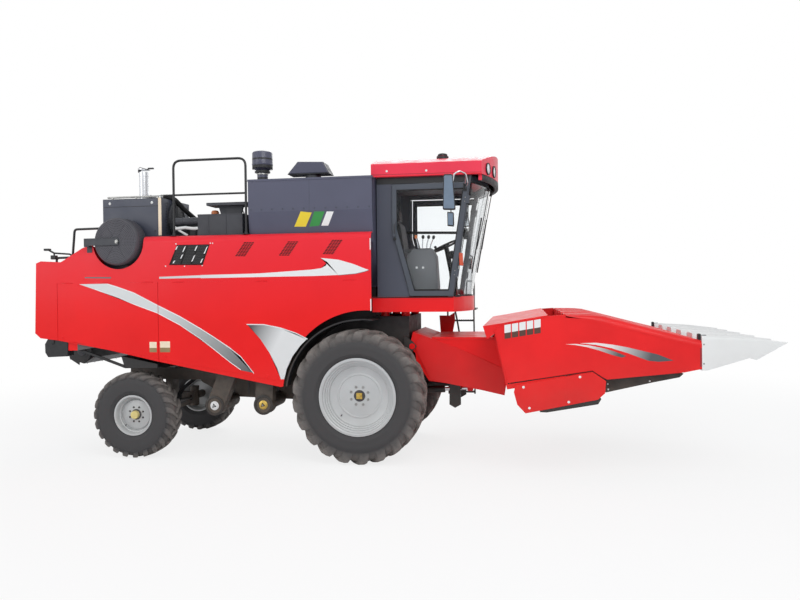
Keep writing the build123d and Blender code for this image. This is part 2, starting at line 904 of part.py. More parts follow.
# Grain tank: an open hopper with a folded extension, and the unloading elbow on its left
with BuildPart() as grain_tank:
    tank_outline = [
        (-tank_half_width, tank_top),
        (-tank_half_width, tank_fold),
        (-tank_lower_half_width, panel_top),
        (-tank_lower_half_width, hopper_knee),
        (-hopper_half_width, separator_top + 20),
        (-hopper_half_width, separator_top),
        (hopper_half_width, separator_top),
        (hopper_half_width, separator_top + 20),
        (tank_lower_half_width, hopper_knee),
        (tank_lower_half_width, panel_top),
        (tank_half_width, tank_fold),
        (tank_half_width, tank_top),
    ]
    tank_inside = [
        (-tank_half_width + sheet, tank_top + 10),
        (-tank_half_width + sheet, tank_fold + 1),
        (-tank_lower_half_width + sheet, panel_top + 1),
        (-tank_lower_half_width + sheet, hopper_knee + 6),
        (-hopper_half_width + 6, separator_top + sheet + 20),
        (hopper_half_width - 6, separator_top + sheet + 20),
        (tank_lower_half_width - sheet, hopper_knee + 6),
        (tank_lower_half_width - sheet, panel_top + 1),
        (tank_half_width - sheet, tank_fold + 1),
        (tank_half_width - sheet, tank_top + 10),
    ]
    cross_block(tank_outline, tank_rear, tank_front)
    cross_block(tank_inside, tank_rear + sheet, tank_front - sheet, Mode.SUBTRACT)
    across(auger_pivot_x, 2870, 110, tank_lower_half_width - 1, auger_pivot_y)
    upright(auger_pivot_x, auger_pivot_y, 165, auger_tube_z + auger_tube_radius + seat, 2990)
finish(grain_tank, "grain_tank")

# Filling auger, from the tank's floor to its head above the rim
with BuildPart() as tank_fill_auger:
    bar_between((-700, separator_top + sheet + 80), (-800, 3920), -300, -300, 110)
    side_block([(-1131, 3893), (-981, 4065), (-615, 4051), (-530, 3893)], -440, -160)
    box(-760, -640, -360, -240, separator_top + sheet + 20, separator_top + sheet + 100)
finish(tank_fill_auger, "tank_fill_auger")

# Unloading auger, stowed along the left side
with BuildPart() as unloading_auger:
    tube_low = auger_tube_z - auger_tube_radius
    tube_end = auger_pivot_x - auger_length
    upright(auger_pivot_x, auger_pivot_y, 160, tube_low, auger_tube_z + auger_tube_radius)
    with BuildSketch(cross_plane(tube_end)) as tube_ring:
        with Locations((auger_pivot_y, auger_tube_z)):
            Circle(auger_tube_radius)
    extrude(tube_ring.sketch, amount=auger_length)
    spout_side = [
        (tube_end, auger_tube_z + 120),
        (tube_end - 170, auger_tube_z),
        (tube_end - 190, tube_low - 130),
        (tube_end, tube_low - 130),
    ]
    side_block(spout_side, auger_pivot_y - 110, auger_pivot_y + 110)
finish(unloading_auger, "unloading_auger")

# Cab base: a deep floor with a curved front, on four feet
with BuildPart() as cab_base:
    with BuildSketch(level_plane(cab_floor)) as floor_plan:
        with BuildLine():
            Polyline(
                (cab_front_low, -cab_half_width),
                (cab_base_rear, -cab_half_width),
                (cab_base_rear, cab_half_width),
                (cab_front_low, cab_half_width),
            )
            ThreePointArc(
                (cab_front_low, cab_half_width),
                (cab_front_low + glass_bulge_low + 40, 0),
                (cab_front_low, -cab_half_width),
            )
        make_face()
    extrude(floor_plan.sketch, amount=cab_sill - cab_floor)
    for x in (250, 530):
        for y in (-450, 450):
            upright(x, y, 60, cab_mount_z + seat, cab_floor)
finish(cab_base, "cab_base")

# Cab frame: pillars, rear wall with a window, and the top ring
with BuildPart() as cab_frame:
    pillar_inner = cab_half_width - pillar
    for y_from, y_to in ((-cab_half_width, -pillar_inner), (pillar_inner, cab_half_width)):
        side_block(
            [
                (cab_front_low - 65, cab_sill),
                (cab_front_low, cab_sill),
                (cab_front_high, cab_top),
                (cab_front_high - 65, cab_top),
            ],
            y_from,
            y_to,
        )
        side_block(
            [
                (cab_rear, cab_sill),
                (640, cab_sill),
                (420, 3040),
                (420, cab_top),
                (cab_rear, cab_top),
            ],
            y_from,
            y_to,
        )
        box(cab_rear, ring_front, y_from, y_to, ring_bottom, cab_top)
    box(cab_rear, cab_rear + 40, -cab_half_width, cab_half_width, cab_sill, cab_top)
    box(
        cab_rear - 5,
        cab_rear + 50,
        -rear_window_half,
        rear_window_half,
        rear_window_low,
        rear_window_high,
        Mode.SUBTRACT,
    )
    ring_nose = cab_front_high + glass_bulge_high - 20
    with BuildSketch(level_plane(ring_bottom)) as ring_plan:
        with BuildLine():
            ThreePointArc((ring_front, -cab_half_width), (ring_nose, 0), (ring_front, cab_half_width))
            Line((ring_front, cab_half_width), (ring_front - ring_width, cab_half_width))
            ThreePointArc(
                (ring_front - ring_width, cab_half_width),
                (ring_nose - ring_width, 0),
                (ring_front - ring_width, -cab_half_width),
            )
            Line((ring_front - ring_width, -cab_half_width), (ring_front, -cab_half_width))
        make_face()
    extrude(ring_plan.sketch, amount=cab_top - ring_bottom)
finish(cab_frame, "cab_frame")

# Cab roof: curved front, crowned top, a visor under the nose and the foot of a beacon
with BuildPart() as cab_roof:
    with BuildSketch(level_plane(cab_top)) as roof_plan:
        with BuildLine():
            Polyline(
                (roof_corner_x, -roof_half_width),
                (roof_rear, -roof_half_width),
                (roof_rear, roof_half_width),
                (roof_corner_x, roof_half_width),
            )
            ThreePointArc((roof_corner_x, roof_half_width), (roof_nose_x, 0), (roof_corner_x, -roof_half_width))
        make_face()
    extrude(roof_plan.sketch, amount=roof_crown - cab_top)
    with BuildSketch(cross_plane(roof_rear)) as crown:
        with BuildLine():
            Polyline(
                (roof_half_width, roof_edge_top),
                (roof_half_width, cab_top),
                (-roof_half_width, cab_top),
                (-roof_half_width, roof_edge_top),
            )
            ThreePointArc((-roof_half_width, roof_edge_top), (0, roof_crown), (roof_half_width, roof_edge_top))
        make_face()
    extrude(crown.sketch, amount=roof_nose_x - roof_rear + 10, mode=Mode.INTERSECT)
    visor_half = roof_half_width - 60
    visor_inner = roof_corner_x - visor_depth
    with BuildSketch(level_plane(visor_bottom)) as visor_plan:
        with BuildLine():
            ThreePointArc((roof_corner_x, -visor_half), (roof_nose_x, 0), (roof_corner_x, visor_half))
            Line((roof_corner_x, visor_half), (visor_inner, visor_half))
            ThreePointArc(
                (visor_inner, visor_half),
                (roof_nose_x - visor_depth, 0),
                (visor_inner, -visor_half),
            )
            Line((visor_inner, -visor_half), (roof_corner_x, -visor_half))
        make_face()
    extrude(visor_plan.sketch, amount=cab_top - visor_bottom)
    upright(1063, -500, 78, 4000, 4046)
finish(cab_roof, "cab_roof")

# Windscreen and rear window
with BuildPart() as cab_glass:
    windscreen_rows = [
        # height, edge ahead, bulge
        (cab_sill, cab_front_low + 2, glass_bulge_low),
        (ring_bottom, cab_front_high - 11, glass_bulge_high),
    ]
    for height, edge, bulge in windscreen_rows:
        with BuildSketch(level_plane(height)):
            with BuildLine():
                ThreePointArc((edge, -cab_half_width + 4), (edge + bulge, 0), (edge, cab_half_width - 4))
                Line((edge, cab_half_width - 4), (edge + glass_thickness, cab_half_width - 4))
                ThreePointArc(
                    (edge + glass_thickness, cab_half_width - 4),
                    (edge + bulge + glass_thickness, 0),
                    (edge + glass_thickness, -cab_half_width + 4),
                )
                Line((edge + glass_thickness, -cab_half_width + 4), (edge, -cab_half_width + 4))
            make_face()
    loft()
    box(
        cab_rear + 14,
        cab_rear + 22,
        -rear_window_half + seat,
        rear_window_half - seat,
        rear_window_low + seat,
        rear_window_high - seat,
    )
finish(cab_glass, "cab_glass")

# Cab doors: a frame with its glass, hinged on the leaning front pillar
door_low = cab_sill + 12
door_high = 3630
door_outline = [(446, door_high), (1448, door_high), (1228, door_low), (672, door_low), (440, 3046)]
hinge_y = cab_half_width + 22


def door_hinge_x(z):
    """How far ahead of the front axle the leaning hinge line lies at height z."""
    return 1240 + (z - door_low) * (1448 - 1228) / (door_high - door_low)


pane_low = cab_sill + 76
door_inner = [(500, 3560), (1376, 3560), (1172, pane_low), (722, pane_low), (500, 3056)]
with BuildPart() as cab_door_right:
    side_block(door_outline, -cab_half_width - 40, -cab_half_width - 4)
    side_block(door_inner, -cab_half_width - 50, -cab_half_width, Mode.SUBTRACT)
    box(455, 490, -cab_half_width - 75, -cab_half_width - 40, 2960, 3140)
    for z_from, z_to in ((door_low + 244, door_low + 344), (door_high - 270, door_high - 170)):
        hinge_from, hinge_to = ((door_hinge_x(z), z) for z in (z_from, z_to))
        bar_between(hinge_from, hinge_to, -hinge_y, -hinge_y, hinge_y - cab_half_width - seat)
finish(cab_door_right, "cab_door_right")

with BuildPart() as cab_door_left:
    mirror(cab_door_right.part, about=Plane.XZ)
finish(cab_door_left, "cab_door_left")

with BuildPart() as door_glass_right:
    with BuildSketch(side_plane(-cab_half_width - 20)) as pane:
        with BuildLine():
            Polyline(*door_inner, close=True)
        make_face()
        offset(amount=-seat)
    extrude(pane.sketch, amount=6)
finish(door_glass_right, "door_glass_right")

with BuildPart() as door_glass_left:
    mirror(door_glass_right.part, about=Plane.XZ)
finish(door_glass_left, "door_glass_left")

# Mirrors on a bent tube from each door's upper hinge corner
with BuildPart() as mirror_right:
    box(1138, 1300, -1290, -1250, 3239, 3686)
    mirror_arm = [
        (1395, -cab_half_width - 40, 3590),
        (1395, -1030, 3590),
        (1300, -1230, 3650),
        (1220, -1230, 3560),
        (1220, -1249, 3470),
    ]
    tube_run(mirror_arm, 11, 15)
finish(mirror_right, "mirror_right")

with BuildPart() as mirror_left:
    mirror(mirror_right.part, about=Plane.XZ)
finish(mirror_left, "mirror_left")

# Operator's seat on its box
with BuildPart() as operator_seat:
    box(430, 860, -240, 240, cab_sill, 2480)
    box(400, 900, -260, 260, 2480, 2600)
    side_block([(400, 2600), (500, 2600), (420, 3200), (330, 3200)], -250, 250)
finish(operator_seat, "operator_seat")

# Control console, steering column and steering wheel
with BuildPart() as cab_controls:
    box(520, 1010, -700, -420, cab_sill, 2760)
    side_block([(1060, cab_sill), (1180, cab_sill), (1085, 2856), (1025, 2856)], -60, 60)
    wheel_plane = Plane((front_axle_x + 1045, 0, 2860), x_dir=(0, 1, 0), z_dir=(-0.45, 0, 1))
    with BuildSketch(wheel_plane) as rim_ring:
        Circle(200)
        Circle(178, mode=Mode.SUBTRACT)
        Rectangle(370, 30)
        Circle(45)
    extrude(rim_ring.sketch, amount=22, both=True)
finish(cab_controls, "cab_controls")

# Ladder and platform at the left
with BuildPart() as ladder:
    box(260, 1400, cab_half_width + 50, 1480, 1935, 1960)
    box(260, 1230, cab_half_width, cab_half_width + 60, 1966, 2000)
    box(260, 1230, cab_half_width + 50, cab_half_width + 60, 1935, 2000)
    for x in (910, 1330):
        cross_block([(1400, 1950), (1480, 1950), (1600, 560), (1520, 560)], x, x + 20)
    for step in range(5):
        z = 580 + step * 290
        y = 1520 - (z - 560) * 0.0863
        box(915, 1345, y, y + 90, z, z + 24)
    tube_run([(300, 1440, 1950), (300, 1440, 2850), (420, 1440, 2850), (420, 1440, 1950)], 16, 50)
finish(ladder, "ladder")

# Feeder house: tapering housing with its drive cover, pivot stubs, rod eyes and stand
with BuildPart() as feeder_house:
    feeder_side = [
        (657, 1692),
        (914, 1600),
        (914, 1621),
        (1799, 1621),
        (1881, 1238),
        (1906, 1119),
        (1868, 854),
        (1518, 931),
        (1154, 999),
        (868, 1037),
        (700, 1300),
    ]
    side_block(feeder_side, -feeder_half_width, feeder_half_width)
    across(lift_x, lift_z, 40, -feeder_half_width - 30, feeder_half_width + 30)
    pivot_boss = [
        (lift_x - 30, lift_z - 30),
        (720, lift_z - 120),
        (720, 1660),
        (657, 1692),
        (lift_x - 30, lift_z + 40),
    ]
    side_block(pivot_boss, -feeder_half_width, feeder_half_width)
    eye_x, eye_z = cylinder_eye
    lug_side = [
        (eye_x - 60, eye_z + 60),
        (eye_x - 30, eye_z - 35),
        (eye_x + 30, eye_z - 35),
        (eye_x + 60, eye_z + 60),
    ]
    for side in (-1, 1):
        for lug in (-1, 1):
            y = side * cylinder_y + lug * 50
            side_block(lug_side, y - 10, y + 10)
        across(eye_x, eye_z, eye_pin_radius, side * cylinder_y - 60, side * cylinder_y + 60)
    stand_side = [(1130, 1010), (1124, 700), (1200, 658), (1275, 700), (1270, 980)]
    for y in (-500, 470):
        side_block(stand_side, y, y + 30)
finish(feeder_house, "feeder_house")

# Header frame: back sheet, auger trough, top cover, beams, side plates and drive guards
side_plate = [
    (1771, 1777),
    (1856, 1837),
    (2403, 1932),
    (2567, 1943),
    (header_front, 1943),
    (header_front, 1167),
    (1921, 1062),
]
guard_outline = [
    (2018, 1116),
    (2907, 1280),
    (3056, 1175),
    (3044, 1034),
    (2963, 960),
    (2134, 786),
    (2039, 887),
    (2001, 1032),
]
with BuildPart() as header_frame:
    inside = header_half_width - sheet
    side_block([(1765, 1790), (1907, 1120), (1921, 1122), (1778, 1795)], -inside - 1, inside + 1)
    box(1770, 2000, -520, 520, 1150, 1600, Mode.SUBTRACT)
    with BuildSketch(side_plane(inside + 1)) as trough:
        with Locations((auger_x, auger_z)):
            Circle(auger_radius + 72)
            Circle(auger_radius + 60, mode=Mode.SUBTRACT)
        with Locations((auger_x, auger_z + 335)):
            Rectangle(900, 900, mode=Mode.SUBTRACT)
    extrude(trough.sketch, amount=2 * inside + 2)
    side_block([(1906, 1120), (2100, 1120), (2100, 1165), (1906, 1160)], -inside - 1, inside + 1)
    box(header_front - 120, header_front, -inside - 1, inside + 1, 1125, 1190)
    box(header_front - sheet, header_front, -inside - 1, inside + 1, 1180, 1335)
    side_block(
        [
            (1640, 1812),
            (1856, 1847),
            (2403, 1942),
            (2403, 1930),
            (1856, 1835),
            (1652, 1801),
            (1700, 1660),
            (1688, 1658),
        ],
        -inside - 1,
        inside + 1,
    )
    box(1668, 1785, -inside - 1, inside + 1, 1735, 1795)
    for y_from, y_to in ((-header_half_width, -inside), (inside, header_half_width)):
        side_block(side_plate, y_from, y_to)
    for y in (-header_half_width - guard_depth, header_half_width):
        side_block(guard_outline, y, y + guard_depth)
    for side in (-1, 1):
        y_from, y_to = sorted((side * (inside - 80), side * header_half_width))
        across(auger_x, auger_z, 45, y_from, y_to)
finish(header_frame, "header_frame")

# Cross auger: a core with flights that bring the crop to the middle
with BuildPart() as header_auger:
    end_y = header_half_width - sheet - 42
    across(auger_x, auger_z, auger_core_radius, -end_y, end_y)
    for side in (-1, 1):
        y_from, y_to = sorted((side * (end_y - 40), side * end_y))
        across(auger_x, auger_z, 45 + pin_play, y_from, y_to, Mode.SUBTRACT)
    flight_pitch = 420
    wedges = 12
    turns = 2.5
    flight_start = 320
    wedge_half = auger_radius * 0.28
    for side in (-1, 1):
        for step in range(int(turns * wedges)):
            angle = 360 / wedges * step
            y = side * (flight_start + flight_pitch * step / wedges)
            with BuildSketch(side_plane(y)) as wedge:
                with Locations((auger_x, auger_z)):
                    Polygon(
                        (0, 0),
                        (auger_radius, -wedge_half),
                        (auger_radius, wedge_half),
                        rotation=side * angle,
                        align=None,
                    )
            extrude(wedge.sketch, amount=22, both=True)
finish(header_auger, "header_auger")

# Row units on the sloping row plane: gearbox, arms, deck plates and snapping rolls
row_plane = Plane(
    (front_axle_x + deck_x, 0, deck_z),
    x_dir=(cos(radians(row_slope)), 0, sin(radians(row_slope))),
    z_dir=(-sin(radians(row_slope)), 0, cos(radians(row_slope))),
)
deck_plate = 10
deck_width = row_spacing / 2 - row_gap / 2 - sheet - seat
unit_rear = -450
unit_front = 850
with BuildPart() as row_units:
    with BuildSketch(row_plane.offset(-deck_plate)) as decks:
        with GridLocations(0, row_spacing, 1, rows):
            for side in (-1, 1):
                with Locations(((unit_rear + unit_front) / 2, side * (row_gap + deck_width) / 2)):
                    Rectangle(unit_front - unit_rear, deck_width)
    extrude(decks.sketch, amount=deck_plate)
    with BuildSketch(row_plane.offset(-150)) as arms:
        with GridLocations(0, row_spacing, 1, rows):
            with Locations((200, -130), (200, 130)):
                Rectangle(1180, 60)
            with Locations((unit_rear + 150, 0)):
                Rectangle(260, 320)
    extrude(arms.sketch, amount=150 - deck_plate)
    roll_face = Plane(
        row_plane.from_local_coords(Vector(unit_rear + 200, 0, -80)),
        x_dir=(0, 1, 0),
        z_dir=row_plane.x_dir,
    )
    with BuildSketch(roll_face) as rolls:
        with GridLocations(row_spacing, 0, rows, 1):
            with Locations((-roll_radius - 3, 0), (roll_radius + 3, 0)):
                Circle(roll_radius)
    extrude(rolls.sketch, amount=980)
    skid_side = [(3071, 1156), (3071, 1016), (3612, 1142), (3907, 1204), (3952, 1247)]
    for number in range(rows):
        y = (number - (rows - 1) / 2) * row_spacing
        side_block(skid_side, y - skid_half, y + skid_half)
finish(row_units, "row_units")

# Gathering chains: two loops with fingers over each row's gap
with BuildPart() as gathering_chains:
    with BuildSketch(row_plane.offset(8)) as loops:
        with GridLocations(0, row_spacing, 1, rows):
            for side in (-1, 1):
                with Locations((230, side * 105)):
                    SlotOverall(1080, 86)
                    SlotOverall(1040, 46, mode=Mode.SUBTRACT)
    extrude(loops.sketch, amount=26)
    with BuildSketch(row_plane.offset(10)) as fingers:
        with GridLocations(0, row_spacing, 1, rows):
            for side in (-1, 1):
                with Locations((230, side * 47)):
                    with GridLocations(180, 0, 6, 1):
                        Rectangle(24, 50)
    extrude(fingers.sketch, amount=20)
    with BuildSketch(row_plane) as sprockets:
        with GridLocations(0, row_spacing, 1, rows):
            for side in (-1, 1):
                with Locations((-247, side * 105), (707, side * 105)):
                    Circle(24)
    extrude(sprockets.sketch, amount=34)
finish(gathering_chains, "gathering_chains")

# Divider hoods over the gaps between rows, the outer ones with a straight outer wall
hood_end = 4119
hood_top = [
    # ahead of the front axle, height
    (header_front + 6, 1943),
    (2800, 1942),
    (3030, 1929),
    (3214, 1881),
    (3486, 1810),
    (3844, 1715),
    (4076, 1657),
]
hood_floor = [(x, deck_z + (x - deck_x) * tan(radians(row_slope)) + seat) for x in (hood_end, header_front + 6)]
with BuildPart() as divider_hoods:
    for number in range(rows + 1):
        y = (number - rows / 2) * row_spacing
        y_from = max(y - hood_half_width, -header_half_width)
        y_to = min(y + hood_half_width, header_half_width)
        with BuildPart(mode=Mode.PRIVATE) as hood:
            side_block(hood_top + hood_floor, y_from, y_to)
            top_edges = [
                edge
                for edge in hood.edges()
                if edge.center().Z > 1640 and abs(edge.center().Y - (y_from + y_to) / 2) > 60
            ]
            chamfer(top_edges, hood_chamfer)
        add(hood.part)
    apron = [
        (4100, 1560),
        (hood_end, 1320),
        (3930, 1279),
        (3072, 1189),
        (2911, 1276),
        (header_front + 6, 1230),
        (header_front + 6, 1500),
    ]
    for y_from, y_to in ((-header_half_width, -inside), (inside, header_half_width)):
        side_block(apron, y_from, y_to)
finish(divider_hoods, "divider_hoods")

# Snout points in front of the hoods, the outer ones with a straight outer wall
snout_side = [
    (hood_end + seat, 1700),
    (4600, 1674),
    (5057, 1618),
    (4711, 1420),
    (4634, 1443),
    (4171, 1300),
    (hood_end + seat, 1300),
]
with BuildPart() as snout_points:
    for number in range(rows + 1):
        y = (number - rows / 2) * row_spacing
        y_from = max(y - hood_half_width, -header_half_width)
        y_to = min(y + hood_half_width, header_half_width)
        tip_y = (y_from + y_to) / 2
        with BuildPart(mode=Mode.PRIVATE) as snout:
            side_block(snout_side, y_from, y_to)
            level_block(
                [
                    (4100, y_from),
                    (4600, 0.7 * y_from + 0.3 * tip_y),
                    (5060, tip_y - 14),
                    (5060, tip_y + 14),
                    (4600, 0.7 * y_to + 0.3 * tip_y),
                    (4100, y_to),
                ],
                1200,
                1800,
                Mode.INTERSECT,
            )
        add(snout.part)
finish(snout_points, "snout_points")

# Header lift cylinders: barrels on the chassis and rods to the feeder house
cylinder_length = hypot(eye_x - pin_x, eye_z - pin_z)
cylinder_slope = atan2(eye_z - pin_z, eye_x - pin_x)
barrel_end = (pin_x + barrel_length * cos(cylinder_slope), pin_z + barrel_length * sin(cylinder_slope))
with BuildPart() as lift_barrels:
    for side in (-1, 1):
        y = side * cylinder_y
        bar_between(cylinder_pin, barrel_end, y, y, barrel_radius)
        bore_start = (pin_x + 120 * cos(cylinder_slope), pin_z + 120 * sin(cylinder_slope))
        bore_end = (
            pin_x + (barrel_length + 5) * cos(cylinder_slope),
            pin_z + (barrel_length + 5) * sin(cylinder_slope),
        )
        bar_between(bore_start, bore_end, y, y, rod_radius + pin_play, Mode.SUBTRACT)
        across(pin_x, pin_z, 46, y - 40, y + 40)
        across(pin_x, pin_z, 25 + pin_play, y - 60, y + 60, Mode.SUBTRACT)
finish(lift_barrels, "lift_barrels")

with BuildPart() as lift_rods:
    rod_start = (pin_x + 420 * cos(cylinder_slope), pin_z + 420 * sin(cylinder_slope))
    for side in (-1, 1):
        y = side * cylinder_y
        bar_between(rod_start, cylinder_eye, y, y, rod_radius)
        across(eye_x, eye_z, 38, y - 32, y + 32)
        across(eye_x, eye_z, eye_pin_radius + eye_play, y - 60, y + 60, Mode.SUBTRACT)
finish(lift_rods, "lift_rods")
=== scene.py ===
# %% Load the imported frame
import json
from math import cos, pi, radians, sin, tan

import bmesh
import bpy
from mathutils import Matrix, Vector

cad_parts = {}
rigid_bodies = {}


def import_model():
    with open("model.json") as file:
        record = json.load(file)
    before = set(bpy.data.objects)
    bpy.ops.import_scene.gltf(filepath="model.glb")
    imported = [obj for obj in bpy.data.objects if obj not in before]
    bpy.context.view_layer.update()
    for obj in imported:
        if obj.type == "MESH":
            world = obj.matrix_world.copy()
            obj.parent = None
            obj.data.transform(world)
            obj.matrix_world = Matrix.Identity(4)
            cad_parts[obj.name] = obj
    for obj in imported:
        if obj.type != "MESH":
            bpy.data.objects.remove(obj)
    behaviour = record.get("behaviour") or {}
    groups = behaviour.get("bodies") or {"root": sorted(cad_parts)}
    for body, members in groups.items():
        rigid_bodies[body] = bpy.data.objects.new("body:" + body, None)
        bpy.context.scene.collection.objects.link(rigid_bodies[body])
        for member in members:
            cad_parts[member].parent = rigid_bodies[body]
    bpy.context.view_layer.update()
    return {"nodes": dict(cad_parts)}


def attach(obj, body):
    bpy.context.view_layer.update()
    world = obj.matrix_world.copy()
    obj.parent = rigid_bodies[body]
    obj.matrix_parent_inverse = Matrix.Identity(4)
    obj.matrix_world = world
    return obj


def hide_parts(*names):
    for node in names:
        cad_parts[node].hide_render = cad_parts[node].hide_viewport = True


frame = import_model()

# %% [markdown]
# # A combine harvester, dressed piece by piece
# The solids already stand where they belong, and each rides on the body that carries it.
# This lesson gives them paint, glass and rubber, and adds what a solid model leaves out.
# Sizes are easier to read in millimetres, counted ahead of the front axle, to the left and
# up from the floor, so one small function turns them into Blender's metres.

# %% Millimetres to metres
AXLE_X = -0.265
AXLE_HEIGHT = 877.5
MM = 0.001


def place(x, y, z):
    """A point in millimetres ahead of the front axle, to the left and up, as a vector."""
    return Vector((AXLE_X + x * MM, y * MM, z * MM))


print("front axle at", place(0, 0, AXLE_HEIGHT))

# %% [markdown]
# ## Camera
# The machine is seen from its right-hand side, a little ahead of the cab and at cab-floor
# height. A camera can be turned with angles, but here its three axes are worked out from
# the heading, the pitch and the roll, which keeps the framing exact.

# %% The camera
PICTURE = (800, 600)
FOCAL_PIXELS = 737.8
HEADING, PITCH, ROLL = radians(9.4), radians(0.8), radians(0.6)

ahead = Vector((-sin(HEADING) * cos(PITCH), cos(HEADING) * cos(PITCH), -sin(PITCH)))
level_right = Vector((cos(HEADING), sin(HEADING), 0))
level_up = level_right.cross(ahead)
camera_right = level_right * cos(ROLL) - level_up * sin(ROLL)
camera_up = level_right * sin(ROLL) + level_up * cos(ROLL)

camera_data = bpy.data.cameras.new("camera")
camera_data.sensor_width = 36
camera_data.lens = FOCAL_PIXELS / PICTURE[0] * camera_data.sensor_width
camera_data.clip_end = 200
camera = bpy.data.objects.new("camera", camera_data)
bpy.context.collection.objects.link(camera)
axes = Matrix((camera_right, camera_up, -ahead)).transposed()
camera.matrix_world = Matrix.Translation(place(2105.5, -10430.3, 2258.6)) @ axes.to_4x4()
bpy.context.scene.camera = camera
bpy.context.scene.view_settings.view_transform = "Standard"
print("lens", round(camera_data.lens, 2), "mm")

# %% [markdown]
# ## Node helpers
# Materials and Geometry Nodes trees are both built from nodes. One helper makes a node,
# sets its plain values and links its sockets, which keeps each recipe to a few lines.


# %% Making nodes
def node(tree, kind, inputs=None, **settings):
    """A node with its settings, plain input values and links from other sockets."""
    made = tree.nodes.new(kind)
    for key, value in settings.items():
        setattr(made, key, value)
    for key, value in (inputs or {}).items():
        if isinstance(value, bpy.types.NodeSocket):
            tree.links.new(value, made.inputs[key])
        else:
            made.inputs[key].default_value = value
    return made


def srgb(red, green, blue):
    """A colour given from 0 to 255, as the linear colour that shaders use."""
    linear = [
        value / 255 / 12.92 if value <= 10 else ((value / 255 + 0.055) / 1.055) ** 2.4
        for value in (red, green, blue)
    ]
    return (*linear, 1.0)


def shade(colour, factor):
    """A darker or lighter version of a colour."""
    return (*[min(value * factor, 1.0) for value in colour[:3]], 1.0)


# %% [markdown]
# ## Finishes
# Paint on a field machine is never one flat colour: it clouds a little, collects dust near
# the ground and has a faint orange peel. A noise texture on object coordinates tints the
# colour, a second one changes the roughness, and a fine one gives the bump. The same
# recipe with other numbers makes rubber, plastic and cast iron.

# %% The recipe for a finish
DUST = srgb(150, 132, 112)
finishes = {}


def new_material(name):
    """An empty material with its shader and object coordinates."""
    material = bpy.data.materials.new(name)
    material.use_nodes = True
    tree = material.node_tree
    finishes[name] = material
    return tree, tree.nodes["Principled BSDF"], node(tree, "ShaderNodeTexCoord").outputs["Object"]


def ramp(tree, factor, low, high, start=0.3, end=0.7):
    """Two colours blended by a factor between two of its values."""
    made = node(tree, "ShaderNodeValToRGB", {"Fac": factor})
    made.color_ramp.elements[0].position, made.color_ramp.elements[1].position = start, end
    made.color_ramp.elements[0].color, made.color_ramp.elements[1].color = low, high
    return made.outputs["Color"]


def blend_colours(tree, factor, first, second):
    """One colour going over into another as a factor goes from 0 to 1."""
    return node(tree, "ShaderNodeMix", {0: factor, 6: first, 7: second}, data_type="RGBA").outputs[2]


def finish(name, colour, rough, cloud, cloud_size, grain, metal=0.0, coat=0.0, grain_size=0.004,
           dust=0.0, dust_top=1.5, shine=0.5, painted_top_light=None):
    """A painted, moulded or metal finish; sizes are in metres. A painted top light, a paler colour standing for the
    light from above, shows high up.
    """
    tree, shader, spot = new_material(name)
    clouds = node(tree, "ShaderNodeTexNoise", {"Vector": spot, "Scale": 1 / cloud_size, "Detail": 5.0})
    tint = ramp(tree, clouds.outputs["Fac"], shade(colour, 1 - cloud), shade(colour, 1 + cloud))
    height = node(tree, "ShaderNodeSeparateXYZ", {"Vector": spot}).outputs["Z"]
    # Painted top light: from 1.9 m up the colour blends towards a paler, pinker one, standing for light from above.
    if painted_top_light:
        top_light_share = node(tree, "ShaderNodeMapRange", {"Value": height, "From Min": 1.9, "From Max": 3.0})
        tint = blend_colours(tree, top_light_share.outputs[0], tint, painted_top_light)
    if dust:
        settled = node(tree, "ShaderNodeMapRange", {"Value": height, "From Min": 0.0, "From Max": dust_top,
                                                    "To Min": dust, "To Max": 0.0})
        patches = node(tree, "ShaderNodeTexNoise", {"Vector": spot, "Scale": 7.0, "Detail": 8.0, "Roughness": 0.65})
        amount = node(tree, "ShaderNodeMath", {0: settled.outputs[0], 1: patches.outputs["Fac"]},
                      operation="MULTIPLY")
        tint = blend_colours(tree, amount.outputs[0], tint, DUST)
    tree.links.new(tint, shader.inputs["Base Color"])
    wear = node(tree, "ShaderNodeTexNoise", {"Vector": spot, "Scale": 4 / cloud_size, "Detail": 6.0})
    polish = node(tree, "ShaderNodeMapRange", {"Value": wear.outputs["Fac"], "From Min": 0.3, "From Max": 0.7,
                                               "To Min": rough * 0.8, "To Max": min(rough * 1.25, 1.0)})
    tree.links.new(polish.outputs[0], shader.inputs["Roughness"])
    fine = node(tree, "ShaderNodeTexNoise", {"Vector": spot, "Scale": 1 / grain_size, "Detail": 3.0})
    relief = node(tree, "ShaderNodeBump", {"Height": fine.outputs["Fac"], "Strength": grain, "Distance": 0.001})
    tree.links.new(relief.outputs["Normal"], shader.inputs["Normal"])
    shader.inputs["Metallic"].default_value = metal
    shader.inputs["Coat Weight"].default_value = coat
    shader.inputs["Coat Roughness"].default_value = 0.08
    shader.inputs["Specular IOR Level"].default_value = shine


